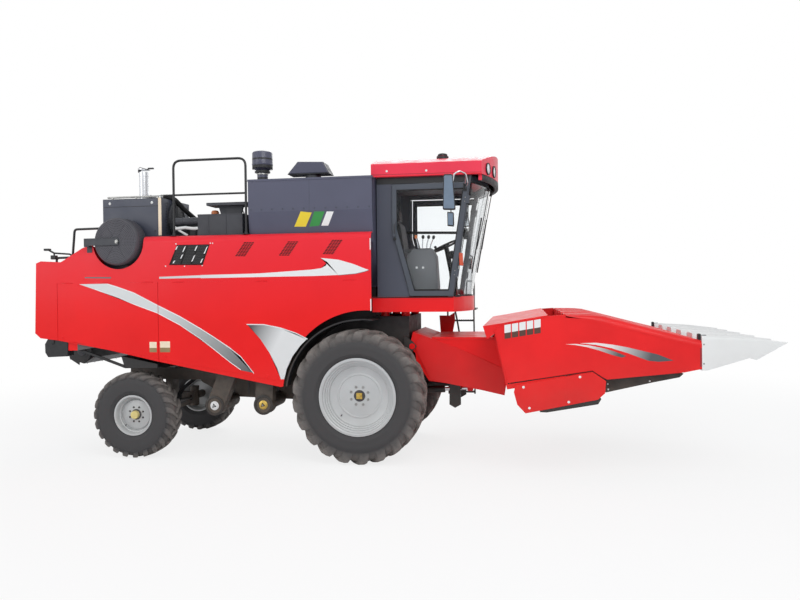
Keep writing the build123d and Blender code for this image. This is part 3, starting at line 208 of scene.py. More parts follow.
# %% Paints, plastics, rubber and metals
HEADER_RED = ((232, 32, 34), 0.4, 0.08, 0.6, 0.06, dict(coat=0.06, dust=0.3, shine=0.25))
PAINTS = {
    # name: colour, roughness, clouding, size of the clouds in metres, grain, and what else
    # red_paint turns pinker high up: painted top light.
    "red_paint": ((240, 22, 24), 0.36, 0.05, 0.9, 0.05,
                  dict(coat=0.06, dust=0.2, dust_top=1.4, shine=0.25, painted_top_light=srgb(238, 42, 56))),
    "roof_paint": ((236, 58, 82), 0.4, 0.05, 0.5, 0.05, dict(coat=0.1, shine=0.25)),
    "red_header_paint": HEADER_RED,
    "guard_paint": HEADER_RED,
    "slate_paint": ((78, 80, 100), 0.42, 0.08, 0.7, 0.06, dict(coat=0.15)),
    "slate_fold_paint": ((66, 70, 84), 0.45, 0.08, 0.7, 0.06, dict(coat=0.1)),
    "charcoal_paint": ((58, 60, 66), 0.5, 0.1, 0.4, 0.1, dict(dust=0.4)),
    "chassis_paint": ((34, 34, 37), 0.55, 0.2, 0.3, 0.15, dict(dust=0.8, dust_top=1.9)),
    "black_paint": ((22, 23, 26), 0.4, 0.15, 0.3, 0.06, dict(dust=0.3)),
    "grey_paint": ((86, 88, 90), 0.5, 0.12, 0.35, 0.1, dict(dust=0.6, dust_top=1.8)),
    "rim_paint": ((196, 199, 200), 0.4, 0.05, 0.3, 0.05, dict(metal=0.15, coat=0.1, dust=0.35, dust_top=1.3)),
    "white_plastic": ((232, 233, 232), 0.48, 0.03, 0.5, 0.05, dict(dust=0.15, dust_top=2.6)),
    "black_plastic": ((26, 27, 30), 0.5, 0.12, 0.2, 0.2, dict(grain_size=0.003)),
    "seal_rubber": ((18, 18, 20), 0.75, 0.15, 0.1, 0.3, dict(grain_size=0.004)),
    "grey_plastic": ((112, 114, 118), 0.5, 0.06, 0.2, 0.2, dict(grain_size=0.003)),
    "chrome_plate": ((214, 216, 220), 0.12, 0.04, 0.1, 0.02, dict(metal=1.0)),
    "steel_bare": ((160, 160, 158), 0.34, 0.15, 0.08, 0.12, dict(metal=1.0)),
    "zinc_yellow": ((206, 176, 92), 0.35, 0.15, 0.05, 0.1, dict(metal=0.85)),
    "cream_cap": ((226, 208, 136), 0.42, 0.08, 0.05, 0.1, dict()),
    "cab_paint": ((68, 74, 84), 0.4, 0.06, 0.4, 0.05, dict(coat=0.1)),
    "cream_film": ((246, 228, 200), 0.42, 0.05, 0.05, 0.03, dict()),
    # A flat bluish grey for mirror faces and the visor's underside: painted reflection.
    "mirror_face": ((104, 122, 142), 0.15, 0.12, 0.15, 0.02, dict(coat=0.4)),
    "lamp_lens": ((232, 236, 238), 0.2, 0.1, 0.04, 0.05, dict(coat=0.7)),
    "white_film": ((236, 238, 238), 0.35, 0.02, 0.4, 0.03, dict(coat=0.2)),
    "grey_film": ((96, 98, 102), 0.35, 0.04, 0.4, 0.03, dict(coat=0.2)),
    "yellow_film": ((232, 208, 50), 0.35, 0.03, 0.3, 0.03, dict(coat=0.2)),
    "green_film": ((46, 140, 64), 0.35, 0.03, 0.3, 0.03, dict(coat=0.2)),
    "red_shadow_paint": ((150, 26, 34), 0.45, 0.08, 0.5, 0.05, dict()),
    "brown_film": ((84, 52, 42), 0.4, 0.1, 0.1, 0.03, dict(coat=0.1)),
    "ochre_film": ((150, 126, 84), 0.35, 0.1, 0.1, 0.03, dict(coat=0.2)),
    "screen_paint": ((76, 75, 82), 0.55, 0.06, 0.3, 0.3, dict(grain_size=0.006)),
    "orange_plastic": ((236, 142, 92), 0.5, 0.05, 0.1, 0.05, dict()),
    "amber_lens": ((206, 74, 34), 0.2, 0.06, 0.03, 0.05, dict(coat=0.6)),
    "red_lens": ((176, 18, 20), 0.2, 0.06, 0.03, 0.05, dict(coat=0.6)),
    # Near black: painted shade in vents, slits and holes, and along the guard's edge.
    "dark_room": ((10, 10, 11), 0.9, 0.2, 0.2, 0.1, dict()),
}
for name, (colour, rough, cloud, cloud_size, grain, more) in PAINTS.items():
    finish(name, srgb(*colour), rough, cloud, cloud_size, grain, **more)
print(len(finishes), "finishes")

# %% [markdown]
# ## Rubber, cloth and glass
# Tyre rubber is dark on the walls and dusty grey-brown on the bars that touch the ground,
# so its dust follows the distance from the axle. The seat is woven cloth, and the windows
# are clear panes with a slight cool tint.


# %% Tyres
def tyre_rubber(name, axle, radius, wall):
    """Rubber that is clean on the wall and dusty towards the tread."""
    tree, shader, spot = new_material(name)
    offset = node(tree, "ShaderNodeVectorMath", {0: spot, 1: axle}, operation="SUBTRACT").outputs[0]
    flat = node(tree, "ShaderNodeVectorMath", {0: offset, 1: (1, 0, 1)}, operation="MULTIPLY").outputs[0]
    reach = node(tree, "ShaderNodeVectorMath", {0: flat}, operation="LENGTH").outputs["Value"]
    outer = node(tree, "ShaderNodeMapRange", {"Value": reach, "From Min": wall, "From Max": radius,
                                              "To Min": 0.05, "To Max": 1.15})
    patches = node(tree, "ShaderNodeTexNoise", {"Vector": spot, "Scale": 9.0, "Detail": 8.0, "Roughness": 0.7})
    amount = node(tree, "ShaderNodeMath", {0: outer.outputs[0], 1: patches.outputs["Fac"]}, operation="MULTIPLY")
    tint = ramp(tree, amount.outputs[0], srgb(66, 65, 66), srgb(152, 144, 138), 0.05, 0.85)
    tree.links.new(tint, shader.inputs["Base Color"])
    fine = node(tree, "ShaderNodeTexNoise", {"Vector": spot, "Scale": 160.0, "Detail": 4.0})
    relief = node(tree, "ShaderNodeBump", {"Height": fine.outputs["Fac"], "Strength": 0.25, "Distance": 0.002})
    tree.links.new(relief.outputs["Normal"], shader.inputs["Normal"])
    shader.inputs["Roughness"].default_value = 0.78


# %% Woven cloth and window glass
tree, shader, spot = new_material("seat_cloth")
weave = node(tree, "ShaderNodeTexWave", {"Vector": spot, "Scale": 120.0, "Distortion": 1.5},
             bands_direction="DIAGONAL")
tree.links.new(ramp(tree, weave.outputs["Fac"], srgb(30, 31, 35), srgb(58, 60, 66)), shader.inputs["Base Color"])
relief = node(tree, "ShaderNodeBump", {"Height": weave.outputs["Fac"], "Strength": 0.4, "Distance": 0.001})
tree.links.new(relief.outputs["Normal"], shader.inputs["Normal"])
shader.inputs["Roughness"].default_value = 0.9
shader.inputs["Sheen Weight"].default_value = 0.3


def pane(name, tint):
    """A clear pane; dust clouds its roughness a little."""
    tree, shader, spot = new_material(name)
    film = node(tree, "ShaderNodeTexNoise", {"Vector": spot, "Scale": 3.0, "Detail": 6.0})
    haze = node(tree, "ShaderNodeMapRange", {"Value": film.outputs["Fac"], "From Min": 0.35, "From Max": 0.75,
                                             "To Min": 0.0, "To Max": 0.05})
    tree.links.new(haze.outputs[0], shader.inputs["Roughness"])
    tree.links.new(ramp(tree, film.outputs["Fac"], shade(tint, 0.99), tint), shader.inputs["Base Color"])
    shader.inputs["Transmission Weight"].default_value = 1.0
    shader.inputs["IOR"].default_value = 1.2


pane("window_glass", srgb(251, 253, 254))

# %% The header's paint, with the white bolt heads of its drive guards
GUARD_BOLTS, GUARD_Y, GUARD_BOLT_RADIUS = ((2113, 1096), (2762, 1222), (2633, 927), (2180, 850)), 1640, 0.015
tree = finishes["guard_paint"].node_tree
socket = tree.nodes["Principled BSDF"].inputs["Base Color"]
paint = socket.links[0].from_socket
spot = node(tree, "ShaderNodeTexCoord").outputs["Object"]
spot = node(tree, "ShaderNodeVectorMath", {0: spot}, operation="ABSOLUTE").outputs[0]
for x, z in GUARD_BOLTS:
    gap = node(tree, "ShaderNodeVectorMath", {0: spot, 1: place(x, GUARD_Y, z)}, operation="DISTANCE")
    head = node(tree, "ShaderNodeMath", {0: gap.outputs["Value"], 1: GUARD_BOLT_RADIUS}, operation="LESS_THAN")
    paint = blend_colours(tree, head.outputs[0], paint, srgb(236, 236, 236))
tree.links.new(paint, socket)

# %% Gradient film for the side stripes
STRIPES = {
    # name: start point, end point, first colour, last colour
    "sweep_film": (place(-2700, 0, 2100), place(-1400, 0, 1200), srgb(214, 218, 218), srgb(88, 90, 92)),
    "crescent_film": (place(-1380, 0, 1830), place(-1020, 0, 1640), srgb(78, 80, 84), srgb(226, 228, 228)),
    "spear_film": (place(-3000, 0, 2460), place(-1500, 0, 2460), srgb(190, 194, 196), srgb(234, 236, 236)),
    "blade_film": (place(3100, 0, 1600), place(3560, 0, 1450), srgb(236, 230, 228), srgb(80, 84, 88)),
    "tail_film": (place(2850, 0, 1570), place(3200, 0, 1470), srgb(240, 226, 224), srgb(82, 88, 88)),
}
for name, (start, end, first, last) in STRIPES.items():
    tree, shader, spot = new_material(name)
    run = end - start
    along = node(tree, "ShaderNodeVectorMath", {0: spot, 1: start}, operation="SUBTRACT").outputs[0]
    share = node(tree, "ShaderNodeVectorMath", {0: along, 1: run / run.length_squared}, operation="DOT_PRODUCT")
    tree.links.new(ramp(tree, share.outputs["Value"], first, last, 0.0, 1.0), shader.inputs["Base Color"])
    shader.inputs["Roughness"].default_value = 0.35
    shader.inputs["Coat Weight"].default_value = 0.2
print("stripes:", ", ".join(STRIPES))

# %% [markdown]
# ## Dressing the solids
# A table gives each solid its finish. The mesh of a solid is never touched: only the
# material in its slot changes.

# %% Finishes of the solids
SOLID_FINISH = {
    "red_paint": ["side_shell_right", "side_shell_left", "rear_hood", "unloading_auger",
                  "service_door_rear_right", "service_door_front_right", "service_door_rear_left",
                  "service_door_front_left", "feeder_house", "cab_base"],
    "roof_paint": ["cab_roof"],
    "red_header_paint": ["divider_hoods"],
    "guard_paint": ["header_frame"],
    "chassis_paint": ["grain_elevators", "chassis_frame", "front_axle", "rear_axle", "separator_body", "engine",
                      "steering_knuckle_right", "steering_knuckle_left", "row_units"],
    "grey_paint": ["header_auger"],
    "slate_fold_paint": ["radiator_box"],
    "charcoal_paint": ["screen_arm", "engine_deck", "tank_fill_auger", "rotary_screen"],
    "slate_paint": ["grain_tank"],
    "black_paint": ["straw_chopper", "handrails", "ladder", "lift_barrels"],
    "cab_paint": ["cab_frame", "cab_door_right", "cab_door_left"],
    "black_plastic": ["pre_cleaner", "cab_controls", "mirror_right", "mirror_left"],
    "chrome_plate": ["exhaust_pipe", "lift_rods"],
    "steel_bare": ["tie_rod", "gathering_chains"],
    "white_plastic": ["snout_points"],
    "seat_cloth": ["operator_seat"],
    "window_glass": ["cab_glass", "door_glass_right", "door_glass_left"],
    "rim_paint": ["rim_front_right", "rim_front_left", "rim_rear_right", "rim_rear_left"],
    "seal_rubber": ["tyre_front_right", "tyre_front_left", "tyre_rear_right", "tyre_rear_left"],
}


def dress(solid, name):
    """Gives a solid's every slot one finish."""
    if not solid.material_slots:
        solid.data.materials.append(finishes[name])
    for slot in solid.material_slots:
        slot.material = finishes[name]


for name, solids in SOLID_FINISH.items():
    for solid in solids:
        dress(frame["nodes"][solid], name)
print(sum(map(len, SOLID_FINISH.values())), "solids dressed")

# %% [markdown]
# ## Shapes from outlines
# Sheet metal is cut, folded and rolled, so most pieces start as an outline pulled through,
# a profile spun round an axis, or a tube bent through points. Each function adds its faces
# to the shape in hand. Once all its parts are in, that becomes a piece and is emptied.

# %% Outlines pulled through
shape = bmesh.new()


def join(rings, slot=0):
    """Faces between each ring of corners and the next one, and over both ends."""
    count = len(rings[0])
    for here, there in zip(rings, rings[1:]):
        for k in range(count):
            after = (k + 1) % count
            shape.faces.new((here[k], here[after], there[after], there[k])).material_index = slot
    for ring in (rings[0], rings[-1][::-1]):
        shape.faces.new(ring).material_index = slot


def loft(sections, slot=0):
    """A skin over cross sections that follow each other, each a list of as many places."""
    join([[shape.verts.new(spot) for spot in section] for section in sections], slot)


def prism(outline, low, high, slot=0):
    """An outline of (ahead, up) pulled through across the machine, from low to high."""
    loft([[place(x, y, z) for x, z in outline] for y in (low, high)], slot)


def brick(x, y, z):
    """A block between pairs of distances ahead, left and up."""
    prism([(x[0], z[0]), (x[1], z[0]), (x[1], z[1]), (x[0], z[1])], *y)


def span(side, near, far):
    """Two distances from the machine's middle, towards one side, in rising order."""
    return sorted((side * near, side * far))


def prisms(outline, near, far):
    """The same outline on both sides of the machine, from near to far off its middle."""
    for side in (-1, 1):
        prism(outline, *span(side, near, far))


def bricks(x, near, far, z):
    """The same block on both sides of the machine, from near to far off its middle."""
    for side in (-1, 1):
        brick(x, span(side, near, far), z)


# %% Profiles spun round an axis
def way_round(first, second, share):
    """The direction a share of a turn round from the first of two directions to the second."""
    return first * cos(2 * pi * share) + second * sin(2 * pi * share)


def lathe(profile, centre, direction, sides=64, slot=0, closed=False):
    """A profile of (radius, distance along) in millimetres, spun round an axis; closed for a hoop."""
    axis = Vector(direction).normalized()
    first = axis.orthogonal().normalized()
    second = axis.cross(first)
    rings = []
    for radius, along in profile:
        middle = centre + axis * (along * MM)
        count = sides if radius > 0 else 1
        rings.append([
            shape.verts.new(middle + way_round(first, second, k / sides) * radius * MM)
            for k in range(count)
        ])
    if closed:
        rings.append(rings[0])
    for here, there in zip(rings, rings[1:]):
        if len(here) == len(there) == 1:
            continue
        for k in range(sides):
            loop = [here[k % len(here)], here[(k + 1) % len(here)],
                    there[(k + 1) % len(there)], there[k % len(there)]]
            loop = [vert for number, vert in enumerate(loop) if vert not in loop[:number]]
            shape.faces.new(loop).material_index = slot


def rod(start, end, radius, sides=24, chamfer=0.0):
    """A round bar between two places, its ends closed and chamfered."""
    length = (end - start).length / MM
    chamfer = min(chamfer, length / 3, radius / 2)
    profile = [(0, 0), (radius, 0), (radius, length), (0, length)]
    if chamfer:
        profile[1:3] = [(radius - chamfer, 0), (radius, chamfer),
                        (radius, length - chamfer), (radius - chamfer, length)]
    lathe(profile, start, end - start, sides)


# %% Tubes bent through points
BEND_STEPS = 6


def rounded_run(points, bend):
    """The points of a run with its corners turned into arcs."""
    run = [points[0]]
    for before, corner, after in zip(points, points[1:], points[2:]):
        back, on = (before - corner), (after - corner)
        turn = back.angle(on)
        reach = min(bend * MM / tan(turn / 2), back.length * 0.49, on.length * 0.49)
        start, end = corner + back.normalized() * reach, corner + on.normalized() * reach
        for k in range(BEND_STEPS + 1):
            share = k / BEND_STEPS
            run.append((1 - share) ** 2 * start + 2 * share * (1 - share) * corner + share ** 2 * end)
    run.append(points[-1])
    return run


def tube(points, radius, bend=40, sides=12):
    """A round tube through places, with bent corners and closed ends."""
    run = rounded_run([place(*point) for point in points], bend)
    side = (run[1] - run[0]).orthogonal().normalized()
    rings = []
    for k, spot in enumerate(run):
        along = (run[min(k + 1, len(run) - 1)] - run[max(k - 1, 0)]).normalized()
        side = (side - along * side.dot(along)).normalized()
        other = along.cross(side)
        rings.append([
            shape.verts.new(spot + way_round(side, other, j / sides) * radius * MM)
            for j in range(sides)
        ])
    join(rings)


# %% From shape to piece
def in_hand(name):
    """The shape in hand as a mesh; the next shape starts empty."""
    bmesh.ops.recalc_face_normals(shape, faces=shape.faces)
    mesh = bpy.data.meshes.new(name)
    shape.to_mesh(mesh)
    shape.clear()
    return mesh


def piece(name, *names, body="harvester", bevel=0.0, smooth=32, instead_of=(), mesh=None):
    """Makes a piece of the shape in hand, with a finish for each slot, that rides on a body."""
    mesh = mesh or in_hand(name)
    made = bpy.data.objects.new(name, mesh)
    bpy.context.collection.objects.link(made)
    slots = [face.material_index for face in mesh.polygons]
    mesh.materials.clear()
    for finish_name in names:
        mesh.materials.append(finishes[finish_name])
    if len(names) > 1:
        mesh.polygons.foreach_set("material_index", slots)
    mesh.shade_smooth()
    mesh.set_sharp_from_angle(angle=radians(smooth))
    if bevel:
        edge = made.modifiers.new("edge", "BEVEL")
        edge.width, edge.segments, edge.angle_limit = bevel * MM, 2, radians(smooth)
        edge.miter_outer = "MITER_ARC"
        edge.harden_normals = True
    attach(made, body)
    if instead_of:
        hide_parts(*instead_of)
    return made


print("shapes: prism, brick, lathe, rod, tube")

# %% [markdown]
# ## Trees for what repeats
# Bolts, tread bars, slots, slats and chain links are all one small thing, repeated. Two
# Geometry Nodes trees place them, round a ring and in rows. Each tree ends by realizing its
# instances, and its result is turned into a plain mesh.


# %% Starting and growing a tree
def new_tree(name, inputs):
    """An empty tree with named inputs, the sockets that give them and a function that closes it."""
    tree = bpy.data.node_groups.new(name, "GeometryNodeTree")
    for label, kind, value in inputs:
        socket = tree.interface.new_socket(label, in_out="INPUT", socket_type="NodeSocket" + kind)
        if value is not None:
            socket.default_value = value
    tree.interface.new_socket("Geometry", in_out="OUTPUT", socket_type="NodeSocketGeometry")
    given = tree.nodes.new("NodeGroupInput").outputs

    def close(geometry):
        solid = node(tree, "GeometryNodeRealizeInstances", {"Geometry": geometry})
        dressed = node(tree, "GeometryNodeSetMaterial", {"Geometry": solid.outputs[0], "Material": given["Finish"]})
        tree.links.new(dressed.outputs[0], tree.nodes.new("NodeGroupOutput").inputs[0])

    return tree, given, close


def grow(name, tree, body, finish_name, smooth=32, **inputs):
    """Runs a tree on the shape in hand as its pattern and keeps the result as a piece."""
    seed = bpy.data.objects.new(name + "_pattern", in_hand(name + "_pattern"))
    holder = bpy.data.objects.new(name + "_holder", bpy.data.meshes.new(name + "_holder"))
    for made in (seed, holder):
        bpy.context.collection.objects.link(made)
    modifier = holder.modifiers.new("grow", "NODES")
    modifier.node_group = tree
    values = dict(inputs, Pattern=seed, Finish=finishes[finish_name])
    for socket in tree.interface.items_tree:
        if socket.in_out == "INPUT" and socket.name.replace(" ", "_") in values:
            modifier[socket.identifier] = values[socket.name.replace(" ", "_")]
    graph = bpy.context.evaluated_depsgraph_get()
    mesh = bpy.data.meshes.new_from_object(holder.evaluated_get(graph))
    mesh.name = name
    holder.modifiers.remove(modifier)
    for made in (holder, seed):
        bpy.data.objects.remove(made)
    return piece(name, finish_name, body=body, smooth=smooth, mesh=mesh)


# %% A ring of copies
ring_tree, given, close = new_tree("ring", [
    ("Pattern", "Object", None), ("Count", "Int", 8), ("Centre", "Vector", (0, 0, 0)),
    ("Step", "Float", 1.0), ("Finish", "Material", None),
])
points = node(ring_tree, "GeometryNodePoints", {"Count": given["Count"]})
number = node(ring_tree, "GeometryNodeInputIndex").outputs[0]
angle = node(ring_tree, "ShaderNodeMath", {0: number, 1: given["Step"]}, operation="MULTIPLY")
spin = node(ring_tree, "ShaderNodeCombineXYZ", {"Y": angle.outputs[0]})
pattern = node(ring_tree, "GeometryNodeObjectInfo", {"Object": given["Pattern"]})
copies = node(ring_tree, "GeometryNodeInstanceOnPoints",
              {"Points": points.outputs[0], "Instance": pattern.outputs["Geometry"], "Rotation": spin.outputs[0]})
placed = node(ring_tree, "GeometryNodeTransform", {"Geometry": copies.outputs[0], "Translation": given["Centre"]})
close(placed.outputs[0])

# %% Copies in rows
rows_tree, given, close = new_tree("rows", [
    ("Pattern", "Object", None), ("Columns", "Int", 1), ("Rows", "Int", 1), ("Start", "Vector", (0, 0, 0)),
    ("Column step", "Vector", (0, 0, 0)), ("Row step", "Vector", (0, 0, 0)), ("Finish", "Material", None),
])
total = node(rows_tree, "ShaderNodeMath", {0: given["Columns"], 1: given["Rows"]}, operation="MULTIPLY")
number = node(rows_tree, "GeometryNodeInputIndex").outputs[0]
row = node(rows_tree, "ShaderNodeMath", {0: number, 1: given["Columns"]}, operation="DIVIDE")
row = node(rows_tree, "ShaderNodeMath", {0: row.outputs[0]}, operation="FLOOR").outputs[0]
column = node(rows_tree, "ShaderNodeMath", {0: number, 1: given["Columns"]}, operation="MODULO").outputs[0]
down = node(rows_tree, "ShaderNodeVectorMath", {0: given["Row step"], "Scale": row}, operation="SCALE").outputs[0]
over = node(rows_tree, "ShaderNodeVectorMath", {0: given["Column step"], "Scale": column}, operation="SCALE")
spot = node(rows_tree, "ShaderNodeVectorMath", {0: down, 1: over.outputs[0]}, operation="ADD").outputs[0]
spot = node(rows_tree, "ShaderNodeVectorMath", {0: spot, 1: given["Start"]}, operation="ADD").outputs[0]
points = node(rows_tree, "GeometryNodePoints", {"Count": total.outputs[0], "Position": spot})
pattern = node(rows_tree, "GeometryNodeObjectInfo", {"Object": given["Pattern"]})
copies = node(rows_tree, "GeometryNodeInstanceOnPoints",
              {"Points": points.outputs[0], "Instance": pattern.outputs["Geometry"]})
close(copies.outputs[0])
print("trees:", ring_tree.name, "and", rows_tree.name)


# %% Bolt heads
def bolt_head(across_flats, height, centre=Vector((0, 0, 0)), direction=(0, -1, 0)):
    """A hexagon head on its washer, pointing along a direction."""
    lathe([(0, 0), (across_flats * 0.75, 0), (across_flats * 0.75, height * 0.2), (0, height * 0.2)],
          centre, direction, 16)
    lathe([(0, height * 0.2), (across_flats * 0.577, height * 0.2), (across_flats * 0.577, height * 0.9),
           (across_flats * 0.5, height), (0, height)], centre, direction, 6)


def bolts(name, finish_name, first, last, count, across_flats, height, side=-1):
    """A straight row of bolt heads between two places."""
    bolt_head(across_flats, height, direction=(0, side, 0))
    grow(name, rows_tree, "harvester", finish_name, Columns=count, Start=place(*first),
         Column_step=(place(*last) - place(*first)) / (count - 1))


# %% [markdown]
# ## Drive tyres
# A drive tyre has slanting bars, left and right of the tread by turns, that flare over the
# shoulder and fade out down the wall. Only one pair of bars is shaped, station by station
# from the tread's middle to the wall, and the ring tree repeats it round the axle.

# %% Wheel sizes
WHEELS = {
    # wheel: axle ahead, tread middle, tyre radius, side
    "front_right": (0, -996, AXLE_HEIGHT, -1),
    "front_left": (0, 996, AXLE_HEIGHT, 1),
    "rear_right": (-3125, -1017, 588, -1),
    "rear_left": (-3125, 1017, 588, 1),
}
FRONT_BAR = [
    # middle: out, base radius, top radius; turn in degrees; half width at the base and the top
    (-26, -22, 828, 876, 7.4, 34, 27),
    (40, 40, 832, 877, 4.6, 38, 30),
    (110, 110, 830, 875, 1.0, 42, 34),
    (175, 180, 822, 869, -3.0, 52, 44),
    (206, 222, 800, 848, -5.6, 60, 52),
    (220, 233, 772, 806, -6.8, 64, 57),
    (226, 232, 742, 758, -7.6, 66, 60),
    (222, 226, 726, 732, -7.9, 62, 54),
]
REAR_BAR = [
    (-18, -16, 558, 587, 8.0, 24, 19),
    (40, 40, 560, 587, 4.4, 27, 22),
    (100, 104, 556, 583, 0.0, 34, 28),
    (140, 150, 546, 572, -3.6, 40, 34),
    (164, 178, 528, 548, -5.6, 42, 36),
    (174, 182, 508, 516, -6.4, 38, 32),
]


def tread_bar(stations, side, turn):
    """One tread bar round the axle at the origin; side is the way out, turn is in degrees."""
    layers = []
    for base_out, top_out, base_radius, top_radius, lean, base_half, top_half in stations:
        ring = []
        for out, radius, half in ((base_out, base_radius - 14, -base_half), (top_out, top_radius, -top_half),
                                  (top_out, top_radius, top_half), (base_out, base_radius - 14, base_half)):
            angle = radians(turn + lean) + half / radius
            ring.append(shape.verts.new(Vector((sin(angle) * radius, side * out, cos(angle) * radius)) * MM))
        layers.append(ring)
    join(layers)


# %% Tyres
BARS = {"front": (21, FRONT_BAR), "rear": (23, REAR_BAR)}
CARCASS = {
    # half profile of (radius, out), from the bead to the tread's middle
    "front": [(484, 150), (484, 170), (512, 171), (522, 190), (560, 212), (566, 216), (572, 215), (640, 229),
              (690, 231), (696, 227), (720, 224), (770, 214), (806, 190), (826, 150), (834, 80), (836, 0)],
    "rear": [(256, 112), (256, 130), (282, 131), (292, 148), (330, 166), (336, 170), (342, 169), (400, 180),
             (470, 181), (500, 172), (530, 150), (552, 110), (560, 60), (562, 0)],
}
for name, (axle_x, middle, radius, side) in WHEELS.items():
    end = name.split("_")[0]
    count, stations = BARS[end]
    axle = place(axle_x, middle, radius)
    rubber = "rubber_" + name
    tyre_rubber(rubber, axle, radius * MM, CARCASS[end][9][0] * MM)
    outer = [(r, out) for r, out in CARCASS[end]]
    inner = [(r, -out) for r, out in reversed(CARCASS[end][:-1])]
    lathe(outer + inner, axle, (0, side, 0), 120, closed=True)
    piece("tyre_" + name + "_carcass", rubber, body="wheel_" + name, smooth=50, instead_of=["tyre_" + name])
    tread_bar(stations, 1, 0)
    tread_bar(stations, -1, 180 / count)
    bmesh.ops.recalc_face_normals(shape, faces=shape.faces)
    sharp = [edge for edge in shape.edges if edge.calc_face_angle(0) > radians(40)]
    bmesh.ops.bevel(shape, geom=sharp, offset=6 * MM, segments=2, profile=0.6, affect="EDGES")
    bars = grow("tyre_" + name + "_bars", ring_tree, "wheel_" + name, rubber, smooth=50,
                Count=count, Centre=axle, Step=2 * pi / count)
    print(name, "tyre:", len(bars.data.polygons), "faces in its bars")

# %% [markdown]
# ## Rims
# A rim is rolled from one strip: flange, bead seat and steps down to the well, with a
# pressed disc inside. The profile is spun round the axle. Bolts and hub caps follow.

# %% Rim profiles
RIM = {
    # (radius, out) round the section, from the hub's face outwards and back behind the disc
    "front": [(0, 30), (268, 30), (276, 37), (292, 37), (300, 33), (374, 44), (390, 52), (402, 82), (414, 87),
              (422, 113), (434, 118), (444, 146), (458, 152), (468, 176), (480, 184), (507.7, 184.3), (507.7, 170.4),
              (483.7, 170.4), (483.6, 152), (470, 120), (452, 60), (452, -60), (470, -150), (483.7, -165),
              (483.7, -170.4), (507.7, -170.4), (507.7, -184.3), (480, -184), (464, -170), (440, -120), (436, -60),
              (436, 20), (392, 40), (374, 32), (300, 20), (0, 16)],
    "rear": [(0, 44), (192, 44), (200, 40), (204, 26), (212, 22), (220, 30), (226, 62), (236, 68), (240, 108),
             (247, 132), (255, 142), (275.7, 142.3), (275.7, 130.4), (255.7, 130.4), (255.6, 112), (246, 80),
             (238, 30), (238, -40), (246, -110), (255.7, -122), (255.7, -130.4), (275.7, -130.4), (275.7, -142.3),
             (255, -142), (236, -110), (226, -40), (216, 10), (204, 14), (196, 30), (0, 30)],
}
RIM_BOLTS = {
    # face of the disc, across flats, ring of the bolts, finish
    "front": (30, 24, 122, "steel_bare"),
    "rear": (44, 18, 104, "charcoal_paint"),
}
BOLT_TURN = radians(22)
for name, (axle_x, middle, radius, side) in WHEELS.items():
    end = name.split("_")[0]
    body = "wheel_" + name
    axle = place(axle_x, middle, radius)
    lathe(RIM[end], axle, (0, side, 0), 96)
    piece("rim_" + name + "_wheel", "rim_paint", body=body, smooth=28, instead_of=["rim_" + name])
    face, head, ring, bolt_finish = RIM_BOLTS[end]
    bolt_head(head, 14, Vector((ring * cos(BOLT_TURN), side * face, ring * sin(BOLT_TURN))) * MM, (0, side, 0))
    grow("rim_" + name + "_bolts", ring_tree, body, bolt_finish, Count=8, Centre=axle, Step=pi / 4)
    if end == "front":
        lathe([(0, 30), (76, 30), (76, 34), (70, 38), (0, 38)], axle, (0, side, 0), 48)
        lathe([(0, 38), (56, 38), (56, 52), (52, 56), (0, 56)], axle, (0, side, 0), 4, slot=1)
        lathe([(0, 56), (30, 56), (30, 58), (22, 58), (22, 72), (19, 75), (0, 75)], axle, (0, side, 0), 32, slot=1)
        piece("rim_" + name + "_hub", "charcoal_paint", "zinc_yellow", body=body, bevel=1.2)
    else:
        lathe([(0, 44), (72, 44), (72, 50), (62, 54), (56, 60), (0, 60)], axle, (0, side, 0), 48)
        lathe([(0, 60), (55, 60), (55, 104), (49, 112), (0, 115)], axle, (0, side, 0), 48, slot=1)
        piece("rim_" + name + "_hub", "charcoal_paint", "cream_cap", body=body, bevel=1.2)
    lathe([(0, 0), (7, 0), (7, 26), (5, 28), (5, 44), (0, 45)],
          axle + Vector((-0.58 * RIM[end][9][0], side * (RIM[end][9][1] - 60), -0.62 * RIM[end][9][0])) * MM,
          (0.5, side * 0.8, 0.5), 12)
    piece("rim_" + name + "_valve", "black_plastic", body=body)
print("rims:", len(WHEELS))

# %% [markdown]
# ## Side stripes
# The stripes are thin film on the panels, a third of a millimetre proud. A stripe that
# crosses a door's edge is cut there, so that each part swings with its own door.

# %% Cutting film along the seams
PANEL_Y = 1225.0
FILM = 0.35
DOOR_SPLIT, SEAM_LOW = -2700, 2382
SIDES = {"right": -1, "left": 1}


def clip(outline, axis, limit, keep_above):
    """The part of a flat outline on one side of a limit; axis 0 is ahead, axis 1 is up."""
    kept = []
    for here, there in zip(outline, outline[1:] + outline[:1]):
        inside, next_inside = ((point[axis] > limit) == keep_above for point in (here, there))
        if inside:
            kept.append(here)
        if inside != next_inside:
            share = (limit - here[axis]) / (there[axis] - here[axis])
            kept.append(tuple(a + (b - a) * share for a, b in zip(here, there)))
    return kept


def on_side(outline, side, low, high):
    """An outline pulled outwards on a side panel, from low to high beyond its face."""
    prism(outline, *span(side, PANEL_Y + low, PANEL_Y + high))


def film(name, outline, body, finish_name, layer, side):
    """A flat film on one side panel; layer counts films from the paint outwards."""
    on_side(outline, side, 0, FILM * layer)
    bmesh.ops.triangulate(shape, faces=[face for face in shape.faces if len(face.verts) > 4], ngon_method="EAR_CLIP")
    piece(name, finish_name, body=body)


def door_films(name, outline, finish_name, layer=1):
    """A film over both service doors, cut at the seam between them, on both sides."""
    low = clip(outline, 1, SEAM_LOW, False)
    for side_name, side in SIDES.items():
        for end, limit, above in (("rear", DOOR_SPLIT - 4, False), ("front", DOOR_SPLIT + 4, True)):
            part = clip(low, 0, limit, above)
            if len(part) > 2:
                film(f"{name}_{end}_{side_name}", part, f"service_door_{end}_{side_name}", finish_name, layer, side)


def edging(run, width):
    """A narrow band under a run of points."""
    return run + [(x, z - width) for x, z in reversed(run)]


